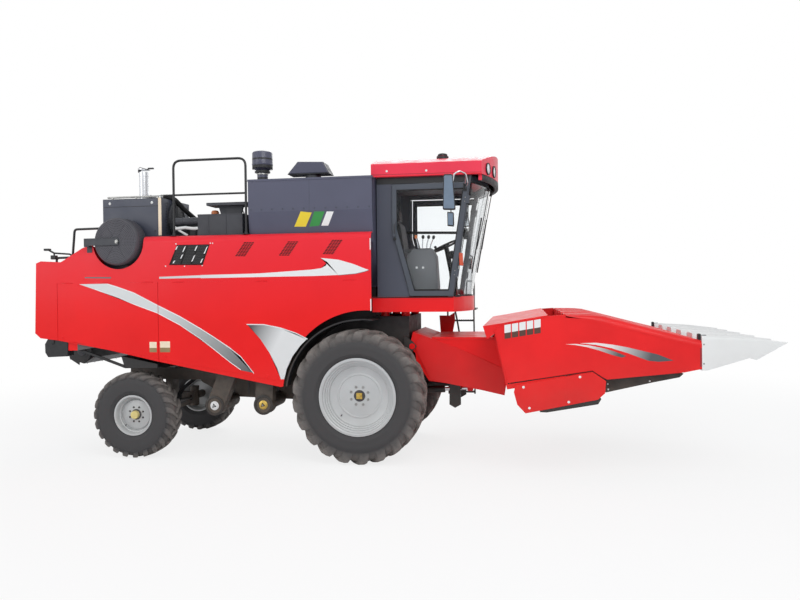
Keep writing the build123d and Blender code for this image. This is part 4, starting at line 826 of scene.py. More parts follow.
# %% The sweep over both doors and the crescent behind the wheel arch
sweep_top = [(-3849, 2379), (-3426, 2382), (-3275, 2337), (-3043, 2257), (-2715, 2093), (-2390, 1938), (-2100, 1775),
             (-1940, 1678), (-1702, 1526), (-1545, 1406), (-1367, 1189)]
sweep_low = [(-1548, 1222), (-1705, 1330), (-1942, 1511), (-2103, 1630), (-2392, 1815), (-2717, 1978), (-3046, 2095),
             (-3278, 2190), (-3613, 2302)]
crescent = [(-1460, 1831), (-1224, 1828), (-991, 1782), (-790, 1715), (-637, 1640), (-731, 1551), (-841, 1409),
            (-920, 1245), (-956, 1110), (-1000, 1109), (-1052, 1259), (-1151, 1453), (-1274, 1633), (-1398, 1775)]
door_films("stripe_sweep", sweep_top + sweep_low, "sweep_film")
door_films("stripe_sweep_edge", edging(sweep_top[1:], 14), "white_film", 2)
door_films("stripe_sweep_rim", edging([(x, z + 12) for x, z in sweep_low], 12), "white_film", 2)
door_films("stripe_crescent", crescent, "crescent_film")
door_films("stripe_crescent_edge", edging(crescent[:5], 12), "white_film", 2)

# %% Films on the upper band
spear = [(-2088, 2480), (-1293, 2490), (-580, 2529), (-442, 2546), (-381, 2578), (-358, 2622), (-216, 2455),
         (-520, 2447), (-1294, 2443), (-2089, 2438)]
spear_tip = [(-358, 2622), (-448, 2678), (-214, 2652), (-18, 2594), (131, 2533), (183, 2515), (130, 2497), (10, 2472),
             (-216, 2455)]
# A grey film set a little lower and further out than the spear's tip: a painted shadow.
spear_painted_shadow = [(-214, 2645), (-18, 2590), (131, 2530), (194, 2512), (130, 2490), (10, 2465), (-216, 2449)]
BAND_FILMS = [
    # name, outline, finish, layer
    ("stripe_spear_rim", spear_painted_shadow, "grey_film", 1),
    ("stripe_spear_tip", spear_tip, "spear_film", 2),
    ("stripe_spear", spear, "spear_film", 2),
    ("stripe_line_rear", [(-3763, 2459), (-3374, 2450), (-3374, 2470), (-3762, 2475)], "grey_film", 1),
    ("stripe_line_front", [(-2676, 2438), (-1949, 2444), (-1948, 2481), (-2676, 2464)], "spear_film", 1),
]
for side_name, side in SIDES.items():
    for name, outline, finish_name, layer in BAND_FILMS:
        film(f"{name}_{side_name}", outline, "harvester", finish_name, layer, side)
print("stripes on both sides")

# %% [markdown]
# ## Vents, louvres and rivets
# The upper band breathes through a slanted vent with dark slats and through patches of
# fine slits. One slit is shaped, and the rows tree repeats it down a slanted column.


# %% The slanted vent and the louvre patches
def from_origin():
    """Shifts a pattern drawn with the shape functions, so that its own start is the origin."""
    bmesh.ops.translate(shape, verts=shape.verts, vec=Vector((-AXLE_X, 0, 0)))


VENT = [(-2534, 2619), (-2056, 2612), (-1955, 2883), (-2416, 2884)]
VENT_COLUMNS = (-2500, -2352, -2204)
LOUVRES = ((-1606, 2721), (-1009, 2719), (-422, 2726))
LOUVRE_COLUMNS, LOUVRE_ROWS = 4, 10
for side_name, side in SIDES.items():
    # A near-black back plate behind the slats: painted shade inside the vent.
    on_side(VENT, side, 0, 0.8)
    piece("vent_back_" + side_name, "dark_room")
    for start, end in zip(VENT, VENT[1:] + VENT[:1]):
        run = Vector((end[0] - start[0], end[1] - start[1]))
        over = Vector((run.y, -run.x)).normalized() * 8
        on_side([start, end, (end[0] + over.x, end[1] + over.y), (start[0] + over.x, start[1] + over.y)], side, 0, 3)
    piece("vent_edge_" + side_name, "red_paint", bevel=0.8)
    # White slivers between the slats: painted light showing through the vent's gaps.
    for x, z, high in ((-2372, 2700, 60), (-2340, 2790, 80), (-2214, 2660, 90), (-2170, 2800, 72), (-2092, 2640, 60),
                       (-2040, 2760, 104), (-2480, 2640, 40), (-2440, 2820, 50)):
        lean = high * 0.38
        on_side([(x, z), (x + 16, z + 4), (x + 22 + lean, z + high), (x + lean, z + high * 0.8)], side, 4.2, 4.6)
    piece("vent_gaps_" + side_name, "white_film")
    for number, x in enumerate(VENT_COLUMNS):
        on_side([(0, 0), (128, 0), (134, 15), (6, 15)], side, 0.8, 4)
        from_origin()
        grow(f"vent_slats_{number}_{side_name}", rows_tree, "harvester", "black_paint", Rows=12,
             Start=place(x, 0, 2632), Row_step=Vector((8.3, 0, 20.5)) * MM)
    # Each slit is a near-black film on the panel: painted shade in its opening.
    for number, (x, z) in enumerate(LOUVRES):
        on_side([(0, 0), (29, 0), (33, 13), (4, 13)], side, 0, 0.8)
        from_origin()
        grow(f"louvres_{number}_{side_name}", rows_tree, "harvester", "dark_room", Columns=LOUVRE_COLUMNS,
             Rows=LOUVRE_ROWS, Start=place(x + 4, 0, z), Column_step=Vector((36, 0, -1)) * MM,
             Row_step=Vector((13.2, 0, 18.6)) * MM)

# %% Rivets, labels and bright strips
RIVETS = [(-2583, 2605), (-2314, 2601), (-2064, 2604), (-1946, 2898), (-1914, 2897), (-2430, 2898)]
LABELS = [
    # name, body's end, left edge, right edge, low edge, high edge
    ("label_rear", "rear", -2830, -2728, 1455, 1593),
    ("label_front", "front", -2680, -2536, 1456, 1601),
]
for side_name, side in SIDES.items():
    for x, z in RIVETS:
        lathe([(0, 0), (9, 0), (9, 2), (6, 5), (0, 6)], place(x, side * PANEL_Y, z), (0, side, 0), 16)
    piece("rivets_" + side_name, "white_plastic")
    for name, end, left, right, low, high in LABELS:
        body = f"service_door_{end}_{side_name}"
        split = low + (high - low) * 0.42
        film(f"{name}_top_{side_name}", [(left, split), (right, split), (right, high), (left, high)], body,
             "cream_film", 2, side)
        film(f"{name}_low_{side_name}", [(left, low), (right, low), (right, split), (left, split)], body,
             "ochre_film", 2, side)
    on_side([(198, 1992), (211, 1992), (211, 2145), (198, 2145)], side, 0, 1)
    piece("front_strip_low_" + side_name, "white_film", body=f"service_door_front_{side_name}")
    on_side([(198, 2773), (211, 2773), (211, 2919), (198, 2919)], side, 0, 1)
    piece("front_strip_high_" + side_name, "white_film")
print("vents, louvres, rivets and labels on both sides")

# %% [markdown]
# ## Folds and liners of the body
# A pressed fold runs along the foot of the service doors, and a black liner stands inside
# the wheel arch, a hand's breadth wide.

# %% Door folds and catches
FOLDS = [
    # door's end, outline of the pressed step
    ("rear", [(-4170, 1622), (-3480, 1504), (-2712, 1381), (-2712, 1369), (-3480, 1492), (-4170, 1610)]),
    ("front", [(-2690, 1372), (-1010, 1092), (-1004, 1080), (-2690, 1360)]),
]
CATCHES = [("rear", -4100, 1660), ("rear", -2790, 1430), ("front", -2610, 1400), ("front", -1180, 1150)]
for side_name, side in SIDES.items():
    for end, outline in FOLDS:
        on_side(outline, side, 0, 4)
        piece(f"door_fold_{end}_{side_name}", "red_paint", body=f"service_door_{end}_{side_name}", bevel=3)
    for number, (end, x, z) in enumerate(CATCHES):
        axis_place = place(x, side * PANEL_Y, z)
        lathe([(0, 0), (20, 0), (20, 2), (17, 4), (0, 4)], axis_place, (0, side, 0), 32)
        brick((x - 12, x + 12), span(side, PANEL_Y + 3, PANEL_Y + 8), (z - 4, z + 4))
        piece(f"door_catch_{number}_{side_name}", "red_paint", body=f"service_door_{end}_{side_name}", bevel=1)

# %% Arch liners
ARCH_X, LINER = 60, 145
for side_name, side in SIDES.items():
    sections = []
    for k in range(41):
        turn = radians(8 + k * (90 - 8) / 40)
        sections.append([place(ARCH_X - cos(turn) * radius, side * y, AXLE_HEIGHT + sin(turn) * radius)
                         for radius, y in ((997, 1204), (997, 1204 - LINER), (991, 1204 - LINER), (991, 1204))])
    loft(sections)
    piece("arch_liner_" + side_name, "black_plastic")
print("folds, catches and liners on both sides")

# %% [markdown]
# ## The engine deck
# The dust screen is a drum of perforated sheet. Its sleeve and its face get rings of small dark
# discs from the ring tree, painted shade for the holes. Beside it stand the cooler box, the exhaust and the rails.

# %% Dust screen
DRUM = place(-3267, -1285, 2944)
lathe([(317.4, -230), (317.4, -26), (300, -4), (296, 0.6), (60, 0.6), (60, 1.6), (297, 1.6), (301, -3.4),
       (318.6, -26), (318.6, -230)], DRUM, (0, -1, 0), 96, closed=True)
piece("screen_skin", "screen_paint", body="rotary_screen", smooth=40)
# Each hole is a near-black disc on the face and the sleeve: painted shade.
for number, radius in enumerate(range(90, 290, 22)):
    lathe([(0, 1.5), (5, 1.5), (5, 2.1), (0, 2.1)], Vector((radius * MM, 0, 0)), (0, -1, 0), 6)
    count = int(2 * pi * radius / 20)
    grow(f"screen_holes_{number}", ring_tree, "rotary_screen", "dark_room", Count=count, Centre=DRUM,
         Step=2 * pi / count)
for number, depth in enumerate(range(50, 220, 24)):
    lathe([(0, 318), (5, 318), (5, 319.2), (0, 319.2)], Vector((0, depth * MM, 0)), (1, 0, 0), 6)
    grow(f"screen_sleeve_holes_{number}", ring_tree, "rotary_screen", "dark_room", Count=90, Centre=DRUM,
         Step=2 * pi / 90)
for turn in range(6):
    way = Vector((cos(turn * pi / 3), 0, sin(turn * pi / 3)))
    rod(DRUM + way * 0.064 + Vector((0, -0.002, 0)), DRUM + way * 0.29 + Vector((0, -0.002, 0)), 3, 8)
piece("screen_ribs", "screen_paint", body="rotary_screen")
bolt_head(34, 16, place(-3240, -1305.2, 2942))
piece("screen_arm_bolt", "steel_bare")
brick((-3714, -3220), (-1307.5, -1305.1), (2986, 2990))
brick((-3714, -3220), (-1307.5, -1305.1), (2894, 2898))
piece("screen_arm_edges", "charcoal_paint", bevel=1)
print("screen: perforated")

# %% Cooler box
bolts("cooler_bolts_top", "white_plastic", (-3520, -980.2, 3490), (-2895, -980.2, 3490), 2, 26, 10)
bolts("cooler_bolts_low", "charcoal_paint", (-3560, -980.2, 3100), (-2850, -980.2, 3100), 5, 16, 7)
brick((-3618, -2762), (-982.5, -980.2), (3440, 3446))
brick((-3618, -2762), (-982.5, -980.2), (3546, 3551))
piece("cooler_seams", "black_paint", bevel=0.8)
prism([(-2786, 3034), (-2741, 3034), (-2741, 3546), (-2762, 3551), (-2786, 3551)], -1016, -1010.4)
piece("cooler_pale_strip", "cream_film", bevel=2)
for k in range(12):
    z = 3070 + k * 38
    tube([(-2738, -900, z), (-2724, -880, z), (-2724, -260, z), (-2738, -240, z)], 3, 10, 6)
for y in (-880, -570, -260):
    tube([(-2720, y, 3060), (-2718, y, 3280), (-2720, y, 3500)], 4, 10, 6)
piece("fan_guard", "black_paint")
lathe([(0, 0), (250, 0), (250, 14), (235, 20), (235, 8), (0, 8)], place(-2739.5, -570, 3280), (1, 0, 0), 64)
piece("fan_ring", "charcoal_paint")
tube([(-2880, -700, 3596), (-2800, -700, 3600), (-2720, -640, 3560), (-2640, -480, 3420), (-2560, -300, 3300)],
     34, 60, 16)
piece("cooler_hose", "seal_rubber")
tube([(-3560, -960, 3575), (-3100, -960, 3576), (-2800, -960, 3574)], 13, 30, 12)
for x in (-3500, -3150, -2830):
    brick((x, x + 24), (-972, -948), (3550.2, 3566))
piece("cooler_top_pipe", "steel_bare")
for x in (-3150, -3060, -2900, -2870):
    rod(place(x, -700, 3596), place(x + 14, -700, 3596), 38, 32, chamfer=2)
piece("pipe_clamps", "steel_bare")

# %% Exhaust and its rain cap
for z in (3640, 3760, 3900):
    lathe([(62.2, -6), (66, -5), (66, 5), (62.2, 6)], place(-3160, -700, z), (0, 0, 1), 48, closed=True)
for z in range(3600, 3950, 12):
    lathe([(62.1, -2), (63.2, 0), (62.1, 2)], place(-3160, -700, z), (0, 0, 1), 48, closed=True)
piece("exhaust_rings", "chrome_plate", smooth=60)
lathe([(0, 0), (78, 0), (80, 3), (76, 7), (0, 10)], place(-3146, -700, 4001), (0.3, 0, 1), 48)
brick((-3236, -3206), (-722, -678), (3952, 4010))
brick((-3090, -3010), (-716, -684), (3996, 4016))
piece("rain_cap", "black_paint", bevel=2)

# %% Air cleaner, handrail feet and deck boxes
CLEANER = (-1547, -300)
centre = place(*CLEANER, 0)
lathe([(0, 4040), (120, 4040), (147, 4052), (150, 4070), (146, 4078), (146, 4080), (143, 4226), (138, 4238),
       (126, 4246), (60, 4254), (0, 4256)], centre, (0, 0, 1), 64)
lathe([(0, 3880), (76, 3880), (76, 3965), (100, 3990), (138, 4012), (140, 4040), (0, 4040)], centre, (0, 0, 1), 64)
piece("air_cleaner", "slate_paint", bevel=1.5)
for k in range(36):
    angle = 2 * pi * k / 36
    middle = centre + Vector((cos(angle) * 0.141, sin(angle) * 0.141, 4.02))
    rod(middle - Vector((0, 0, 0.02)), middle + Vector((0, 0, 0.02)), 4, 6)
piece("air_cleaner_fins", "black_plastic")
lathe([(77, -10), (81, -9), (81, 9), (77, 10)], place(*CLEANER, 3930), (0, 0, 1), 48, closed=True)
piece("air_cleaner_clamp", "steel_bare")
for x in (-2490, -1475):
    brick((x - 40, x + 40), (-1185, -1115), (3010.2, 3018))
    lathe([(0, 0), (24, 0), (24, 26), (20, 30), (0, 30)], place(x, -1150, 3018), (0, 0, 1), 32)
piece("rail_feet", "black_paint", bevel=1.5)
tube([(-2490, -1150, 3010.5), (-2490, -1150, 4015), (-1475, -1150, 4015), (-1475, -1150, 3010.5)], 16, 105, 16)
tube([(-2629, -1150, 3555), (-2000, -1150, 3556), (-1475, -1150, 3555)], 13, 10, 12)
tube([(-4261, -1100, 2668.5), (-4261, -1100, 2748), (-4018, -1100, 2752), (-3981, -1100, 3137),
      (-3600, -1100, 3142), (-3600, -981, 3142)], 16, 45, 16)
piece("rails", "black_paint", smooth=50, instead_of=["handrails"])
for x in (-2070, -1820):
    brick((x - 7, x + 7), (-1004, -1000.2), (3000, 3306))
brick((-2216, -1592), (-1002, -1000.2), (3290, 3296))
for x in (-2480, -2330):
    rod(place(x, -900, 3226), place(x + 16, -900, 3226), 56, 40, chamfer=2)
piece("deck_box_seams", "charcoal_paint", bevel=1)
tube([(-2590, -960, 3120), (-2420, -970, 3135), (-2300, -975, 3118), (-2225, -975, 3122)], 22, 60, 14)
tube([(-2600, -940, 3160), (-2480, -960, 3080), (-2400, -940, 3030)], 16, 40, 12)
piece("pale_hoses", "white_plastic")
lathe([(0, 0), (46, 0), (52, 10), (52, 40), (40, 58), (0, 66)], place(-2030, -860, 3307.2), (0, 0, 1), 32)
piece("orange_cap", "orange_plastic", bevel=1)
for k in range(5):
    tube([(-1790 + k * 34, -900, 3308), (-1800 + k * 34, -900, 3360), (-1770 + k * 34, -880, 3376),
          (-1752 + k * 34, -860, 3320), (-1752 + k * 34, -850, 3308)], 8, 20, 8)
piece("wire_loops", "white_plastic")
brick((-2068, -1498), (-1064, -1060.2), (3416, 3450))
piece("slab_edge", "charcoal_paint", bevel=2)

# %% Engine
for k in range(6):
    x = -2640 + k * 105
    bricks((x, x + 84), 330.2, 361, (2960, 3200))
    lathe([(0, 0), (30, 0), (30, 30), (24, 36), (0, 36)], place(x + 42, -120, 3330), (0, 0, 1), 24)
brick((-2580, -2080), (-160, 160), (3330.2, 3352))
piece("engine_covers", "grey_paint", bevel=4)
for k in range(6):
    x = -2598 + k * 105
    tube([(x, -120, 3366), (x, -120, 3400), (x + 30, -260, 3380), (-2300, -350, 3260)], 5, 30, 8)
piece("fuel_lines", "steel_bare")
for y, z, radius in ((-200, 2760, 110), (60, 2900, 90), (0, 2560, 130)):
    lathe([(0, 0), (radius, 0), (radius, 12), (radius - 12, 18), (radius - 12, 26), (radius, 32), (radius, 44),
           (radius - 30, 46), (0, 46)], place(-2700.2, y, z), (-1, 0, 0), 48)
piece("engine_pulleys", "charcoal_paint", bevel=1)
print("deck: cooler, exhaust, cleaner, boxes and engine dressed")

# %% [markdown]
# ## Grain tank
# The tank's sides are painted sheet with a folded rim, three short stripes on the side and
# pressed ribs inside.

# %% Tank rim, stripes and ribs
TANK_HALF, TANK_FOLD, TANK_FOOT, TANK_FOOT_HALF = 1150, 3300, 3010, 1105
bricks((-1447, 217), TANK_HALF + 0.2, TANK_HALF - 10, (3722.2, 3728))
bricks((-1447, 217), TANK_HALF + 0.3, TANK_HALF + 6, (3700, 3728))
for x in ((-1453, -1447), (217, 223)):
    brick(x, (-TANK_HALF - 6, TANK_HALF + 6), (3700, 3728))
piece("tank_rim", "slate_paint", bevel=1.5)
STRIPES_TANK = [
    ("yellow_film", [(-827, 3098), (-672, 3094), (-582, 3273), (-730, 3291)]),
    ("green_film", [(-625, 3093), (-491, 3103), (-408, 3282), (-547, 3285)]),
    ("white_film", [(-464, 3102), (-370, 3100), (-288, 3278), (-381, 3281)]),
]
TANK_LEAN = (TANK_HALF - TANK_FOOT_HALF) / (TANK_FOLD - TANK_FOOT)
for side_name, side in SIDES.items():
    for finish_name, outline in STRIPES_TANK:
        prism(outline, 0, 0.4)
        for vert in shape.verts:
            rise = min(vert.co.z / MM, TANK_FOLD) - TANK_FOOT
            vert.co.y = side * ((TANK_FOOT_HALF + 0.3 + rise * TANK_LEAN) * MM + abs(vert.co.y))
        piece(f"tank_{finish_name}_{side_name}", finish_name)
for x in (-1200, -900, -600, -300, 0):
    bricks((x - 15, x + 15), 1124, 1137.8, (3310, 3715))
for y in (-1120, 1120):
    tube([(-1430, y, 3690), (-600, y, 3690), (200, y, 3690)], 14, 20, 10)
for x in (-1100, -300):
    tube([(x, -1135, 3540), (x, 0, 3540), (x, 1135, 3540)], 18, 20, 12)
piece("tank_ribs", "slate_fold_paint", bevel=2)
bricks((-615, -611), TANK_HALF + 0.2, TANK_HALF + 1.4, (TANK_FOLD, 3700))
piece("tank_seams", "slate_fold_paint")
for side_name, side in SIDES.items():
    y = side * (TANK_HALF + 0.3)
    bolts("tank_bolts_" + side_name, "slate_fold_paint", (-1410, y, 3330), (180, y, 3330), 12, 14, 6, side)
prism([(-1125, 3898), (-980, 4066), (-616, 4052), (-536, 3898)], -445, -155)
piece("fill_auger_hood", "slate_paint", bevel=14, smooth=25)
print("grain tank: rim, stripes and ribs")

# %% [markdown]
# ## The cab
# The cab is mostly glass, so what stands inside it shows. The seat, the console and the
# steering wheel get their real shapes here; lamps, wipers and the roof's seams follow.

# %% Cab shell
CAB_HALF, DOOR_FACE = 900, 940
prisms([(233, 2170), (662, 2170), (432, 3046), (438, 3636), (233, 3636)], CAB_HALF + 0.3, CAB_HALF + 3.2)
piece("cab_side_panels", "slate_fold_paint", bevel=1)
prisms([(233, 3640), (1440, 3640), (1447, 3724), (233, 3724)], CAB_HALF + 0.3, CAB_HALF + 3.2)
piece("cab_top_band", "black_paint", bevel=1)
prisms([(166, 2150), (1226, 2150), (1232, 2162), (166, 2162)], CAB_HALF + 0.4, CAB_HALF + 4)
piece("cab_sill_seal", "seal_rubber", bevel=1)
brick((170, 1220), (-880, 880), (2164.3, 2172))
piece("cab_floor_mat", "seal_rubber", bevel=2)

# %% Doors: seal, handle and hinges
DOOR_OUTER = [(460, 3618), (1432, 3618), (1218, 2190), (684, 2190), (452, 3046)]
DOOR_INNER = [(500, 3560), (1376, 3560), (1172, 2240), (722, 2240), (500, 3056)]
for side_name, side in SIDES.items():
    body = "cab_door_" + side_name
    middle = Vector((sum(x for x, z in DOOR_INNER) / 5, sum(z for x, z in DOOR_INNER) / 5))
    for start, end in zip(DOOR_INNER, DOOR_INNER[1:] + DOOR_INNER[:1]):
        inner = [(x + (middle.x - x) * 0.03, z + (middle.y - z) * 0.03) for x, z in (end, start)]
        prism([start, end] + inner, *span(side, 926, 936))
    piece("door_seal_" + side_name, "seal_rubber", body=body, bevel=2)
    tube([(474, side * y, z) for y, z in ((938, 2968), (966, 2985), (966, 3115), (938, 3132))], 12, 16, 12)
    piece("door_handle_" + side_name, "black_plastic", body=body)
    lathe([(0, 0), (22, 0), (22, 6), (16, 12), (0, 12)], place(474, side * (DOOR_FACE + 0.2), 2920), (0, side, 0), 32)
    piece("door_lock_" + side_name, "black_plastic", body=body, bevel=2)
    for start, end in zip(DOOR_OUTER, DOOR_OUTER[1:] + DOOR_OUTER[:1]):
        ring = [(x + (middle.x - x) * 0.03, z + (middle.y - z) * 0.02) for x, z in (end, start)]
        prism([start, end] + ring, *span(side, CAB_HALF + 0.2, CAB_HALF + 3.6))
    piece("frame_seal_" + side_name, "seal_rubber")
    for z in (2470, 3410):
        x = 1240 + (z - 2176) * 220 / 1454
        for offset in (-26, 26):
            lathe([(0, 0), (8, 0), (8, 3), (5, 6), (0, 6)],
                  place(x - 34 + offset * 0.15, side * (DOOR_FACE + 0.2), z + offset), (0, side, 0), 6)
    piece("door_hinge_bolts_" + side_name, "steel_bare", body=body)
prism([(330, 3156), (1290, 3134), (1284, 3094), (330, 3116)], 822, 829)
piece("cab_cross_bar", "black_plastic", bevel=2)

# %% Mirrors
for side_name, side in SIDES.items():
    body = "cab_door_" + side_name
    outline = [(1150, 3245), (1288, 3240), (1300, 3252), (1266, 3676), (1254, 3688), (1166, 3690), (1154, 3678),
               (1140, 3260)]
    prism(outline, *span(side, 1249.5, 1284))
    piece("mirror_shell_" + side_name, "black_plastic", body=body, bevel=9, instead_of=["mirror_" + side_name])
    inner = [(1221 + (x - 1221) * 0.86, 3466 + (z - 3466) * 0.92) for x, z in outline]
    prism(inner, *span(side, 1246.8, 1249.4))
    piece("mirror_glass_" + side_name, "chrome_plate", body=body, bevel=1)
    # The outer face is flat bluish grey: painted reflection.
    prism(inner, *span(side, 1284.2, 1287))
    piece("mirror_back_" + side_name, "mirror_face", body=body, bevel=2)
    prism([(1196, 3046), (1272, 3036), (1280, 3060), (1276, 3205), (1268, 3216), (1194, 3222)],
          *span(side, 1240, 1262))
    tube([(1240, side * 1250, 3200), (1242, side * 1262, 3250)], 7, 10, 8)
    piece("small_mirror_" + side_name, "black_plastic", body=body, bevel=5)
    # The small mirror's face is flat bluish grey too: painted reflection.
    prism([(1204, 3062), (1264, 3054), (1266, 3200), (1204, 3206)], *span(side, 1262.2, 1264))
    piece("small_mirror_face_" + side_name, "mirror_face", body=body)
    tube([(1395, side * 940, 3590), (1400, side * 1030, 3600), (1420, side * 1160, 3700), (1350, side * 1238, 3728),
          (1282, side * 1238, 3690), (1262, side * 1238, 3600), (1256, side * 1246, 3470)], 11, 40, 14)
    tube([(1395, side * 940, 3540), (1440, side * 1100, 3600), (1425, side * 1158, 3690)], 9, 30, 12)
    piece("mirror_arm_" + side_name, "chrome_plate", body=body)
    brick((1372, 1420), span(side, DOOR_FACE + 0.1, DOOR_FACE + 10), (3515, 3615))
    piece("mirror_base_" + side_name, "black_paint", body=body, bevel=3)

# %% Roof: seams, lamps, visor and beacon
ROOF_FRONT, ROOF_RISE, ROOF_HALF, VISOR_HALF = 1785, 175, 965, 905
prisms([(174, 3762), (1608, 3752), (1608, 3746), (174, 3756)], ROOF_HALF + 0.2, ROOF_HALF + 1.6)
piece("roof_seam", "red_shadow_paint")
for side_name, side in SIDES.items():
    y = side * (ROOF_HALF + 0.3)
    bolts("roof_bolts_" + side_name, "white_plastic", (380, y, 3801), (899, y, 3791), 2, 20, 8, side)


def bow(y, half, rise):
    """How far a curved front falls back at a distance from its middle, by rise at half its width."""
    radius = (half ** 2 + rise ** 2) / (2 * rise)
    return (radius ** 2 - y ** 2) ** 0.5 - radius


lips, undersides = [], []
for k in range(25):
    y = -904 + k * 1808 / 24
    lip = ROOF_FRONT + bow(y, VISOR_HALF, ROOF_RISE)
    lips.append([place(lip + dx, y, z) for dx, z in ((2, 3731), (2, 3656), (-1, 3653.5), (-46, 3653.5), (-47, 3731))])
    undersides.append([place(lip + dx, y, z) for dx, z in ((-48, 3727), (-48, 3729.5), (-230, 3729.5), (-230, 3727))])
# The visor's underside is flat bluish grey: painted reflection.
for name, sections, finish_name in (("visor", lips, "black_plastic"), ("visor_underside", undersides, "mirror_face")):
    loft(sections)
    piece(name, finish_name, smooth=60)
ROOF_LAMPS = [(place(ROOF_FRONT + bow(y, ROOF_HALF, ROOF_RISE) + 2, y, 3815), (1, y / 2600, 0))
              for y in (-760, -480, 480, 760)]
for front, out in ROOF_LAMPS:
    lathe([(0, -8), (74, -8), (78, 0), (78, 12), (70, 16), (66, 6), (0, 6)], front, out, 40)
piece("roof_lamps", "black_plastic", bevel=1)
for front, out in ROOF_LAMPS:
    lathe([(0, 7), (64, 7), (60, 12), (0, 16)], front, out, 40)
piece("roof_lenses", "lamp_lens", smooth=60)
lathe([(0, 4046.2), (62, 4046.2), (66, 4052), (66, 4066), (58, 4078), (30, 4086), (0, 4088)],
      place(1063, -500, 0), (0, 0, 1), 40)
lathe([(78.3, 4000), (81, 4002), (81, 4044), (70, 4048), (0, 4048)], place(1063, -500, 0), (0, 0, 1), 48)
piece("beacon", "black_plastic", smooth=50)
prisms([(176, 3728), (1606, 3728), (1606, 3738), (176, 3738)], ROOF_HALF + 0.2, ROOF_HALF + 5)
piece("roof_gutter", "red_paint", bevel=2)

# %% Wipers, indicators and the windscreen's seal
SCREEN_FOOT, SCREEN_TOP, SCREEN_HALF, PANE = (1233, 2164), (1466, 3640), 896, 8
BULGE_FOOT, BULGE_TOP = 165, 205


def screen_x(y, z, reach=14.0):
    """How far ahead the windscreen's outer face is at a place across and up, plus a reach."""
    share = (z - SCREEN_FOOT[1]) / (SCREEN_TOP[1] - SCREEN_FOOT[1])
    bulge = BULGE_FOOT + share * (BULGE_TOP - BULGE_FOOT)
    edge = SCREEN_FOOT[0] + share * (SCREEN_TOP[0] - SCREEN_FOOT[0])
    return edge + PANE + bulge + bow(y, SCREEN_HALF, bulge) + reach


for (top_y, top_z), (y, z) in (((-330, 3600), (-420, 2800)), ((250, 3600), (120, 2820))):
    tube([(screen_x(top_y, top_z, 26), top_y, top_z), (screen_x(top_y, 3200, 26), (top_y + y) / 2, 3200),
          (screen_x(y, z, 22), y, z)], 6, 60, 10)
    tube([(screen_x(y, z + up, reach), y + across, z + up)
          for up, reach, across in ((420, 14, 30), (0, 12, 0), (-330, 14, -24))], 9, 80, 8)
    rod(*(place(screen_x(top_y, 3600, reach), top_y, 3600) for reach in (2, 34)), 18, chamfer=3)
piece("wipers", "black_plastic")
for side_name, side in SIDES.items():
    outline = [(1304, 2730), (1356, 2722), (1364, 2558), (1312, 2564)]
    prism([(x - 6, z) for x, z in outline], *span(side, 897, 905))
    piece("indicator_base_" + side_name, "black_plastic", bevel=2)
    prism(outline, *span(side, 905, 926))
    piece("indicator_" + side_name, "amber_lens", bevel=5)
for z, thick in ((2170, 14), (3632, 12)):
    sections = []
    for k in range(25):
        y = -890 + k * 1780 / 24
        x = screen_x(y, z, 0)
        sections.append([place(x + dx, y, z + dz)
                         for dx, dz in ((0.5, -thick), (6, -thick), (6, thick), (0.5, thick))])
    loft(sections)
for side in (-1, 1):
    sections = []
    for k in range(13):
        z = 2172 + k * (3630 - 2172) / 12
        x = screen_x(side * 884, z, 0)
        sections.append([place(x + dx, side * y, z) for dx, y in ((0.5, 872), (7, 872), (7, 894), (0.5, 894))])
    loft(sections)
piece("windscreen_seal", "seal_rubber", smooth=50)
print("cab shell, doors, mirrors, roof and wipers")

# %% Seat
brick((470, 820), (-200, 200), (2172.5, 2300))
brick((430, 860), (-230, 230), (2300, 2330))
for k in range(5):
    brick((450 + 4 * k, 840 - 4 * k), (-220 + 4 * k, 220 - 4 * k), (2336 + k * 24, 2352 + k * 24))
piece("seat_base", "black_plastic", bevel=6, instead_of=["operator_seat"])
prism([(405, 2472), (880, 2468), (900, 2500), (892, 2560), (860, 2588), (640, 2570), (470, 2590), (405, 2590)],
      -250, 250)
prism([(410, 2600), (500, 2580), (512, 2620), (440, 3120), (420, 3190), (370, 3215), (335, 3190), (338, 3100)],
      -245, 245)
prism([(338, 3225), (410, 3222), (402, 3360), (372, 3392), (334, 3372)], -130, 130)
piece("seat_cushions", "seat_cloth", bevel=22, smooth=40)
for y in (-330, 290):
    prism([(420, 2770), (760, 2780), (775, 2800), (760, 2824), (420, 2822)], y, y + 44)
piece("arm_rests", "grey_plastic", bevel=12, smooth=40)
for y in (-308, 312):
    tube([(470, y * 0.8, 2640), (455, y, 2700), (455, y, 2775)], 12, 20, 10)
    tube([(372, y * 0.2, 3190), (372, y * 0.2, 3240)], 8, 10, 8)
piece("seat_stays", "black_paint")

# %% Console, levers and steering wheel
prism([(560, 2173), (1000, 2173), (1010, 2300), (985, 2700), (930, 2796), (672, 2796), (600, 2720)], -700, -430)
piece("console", "grey_plastic", bevel=18, smooth=40, instead_of=["cab_controls"])
prism([(690, 2796.3), (925, 2796.3), (915, 2806), (700, 2806)], -680, -450)
piece("console_panel", "black_plastic", bevel=3)
bolts("console_bolts", "white_plastic", (725, -703.5, 2550), (811, -703.5, 2549), 2, 22, 8)
LEVERS = [(740, -640, -30), (790, -600, 10), (840, -560, 30), (880, -500, 50)]
for x, y, lean in LEVERS:
    tube([(x, y, 2800), (x + lean * 0.3, y, 2870), (x + lean, y, 2950)], 7, 20, 10)
piece("levers", "chrome_plate")
for name, few, finish_name in (("lever_knobs", LEVERS[1:], "black_plastic"),
                               ("lever_orange_knob", LEVERS[:1], "orange_plastic")):
    for x, y, lean in few:
        lathe([(0, -14), (14, -10), (20, 6), (20, 22), (12, 36), (0, 40)], place(x + lean, y, 2950),
              (lean / 400, 0, 1), 24)
    piece(name, finish_name, smooth=60)
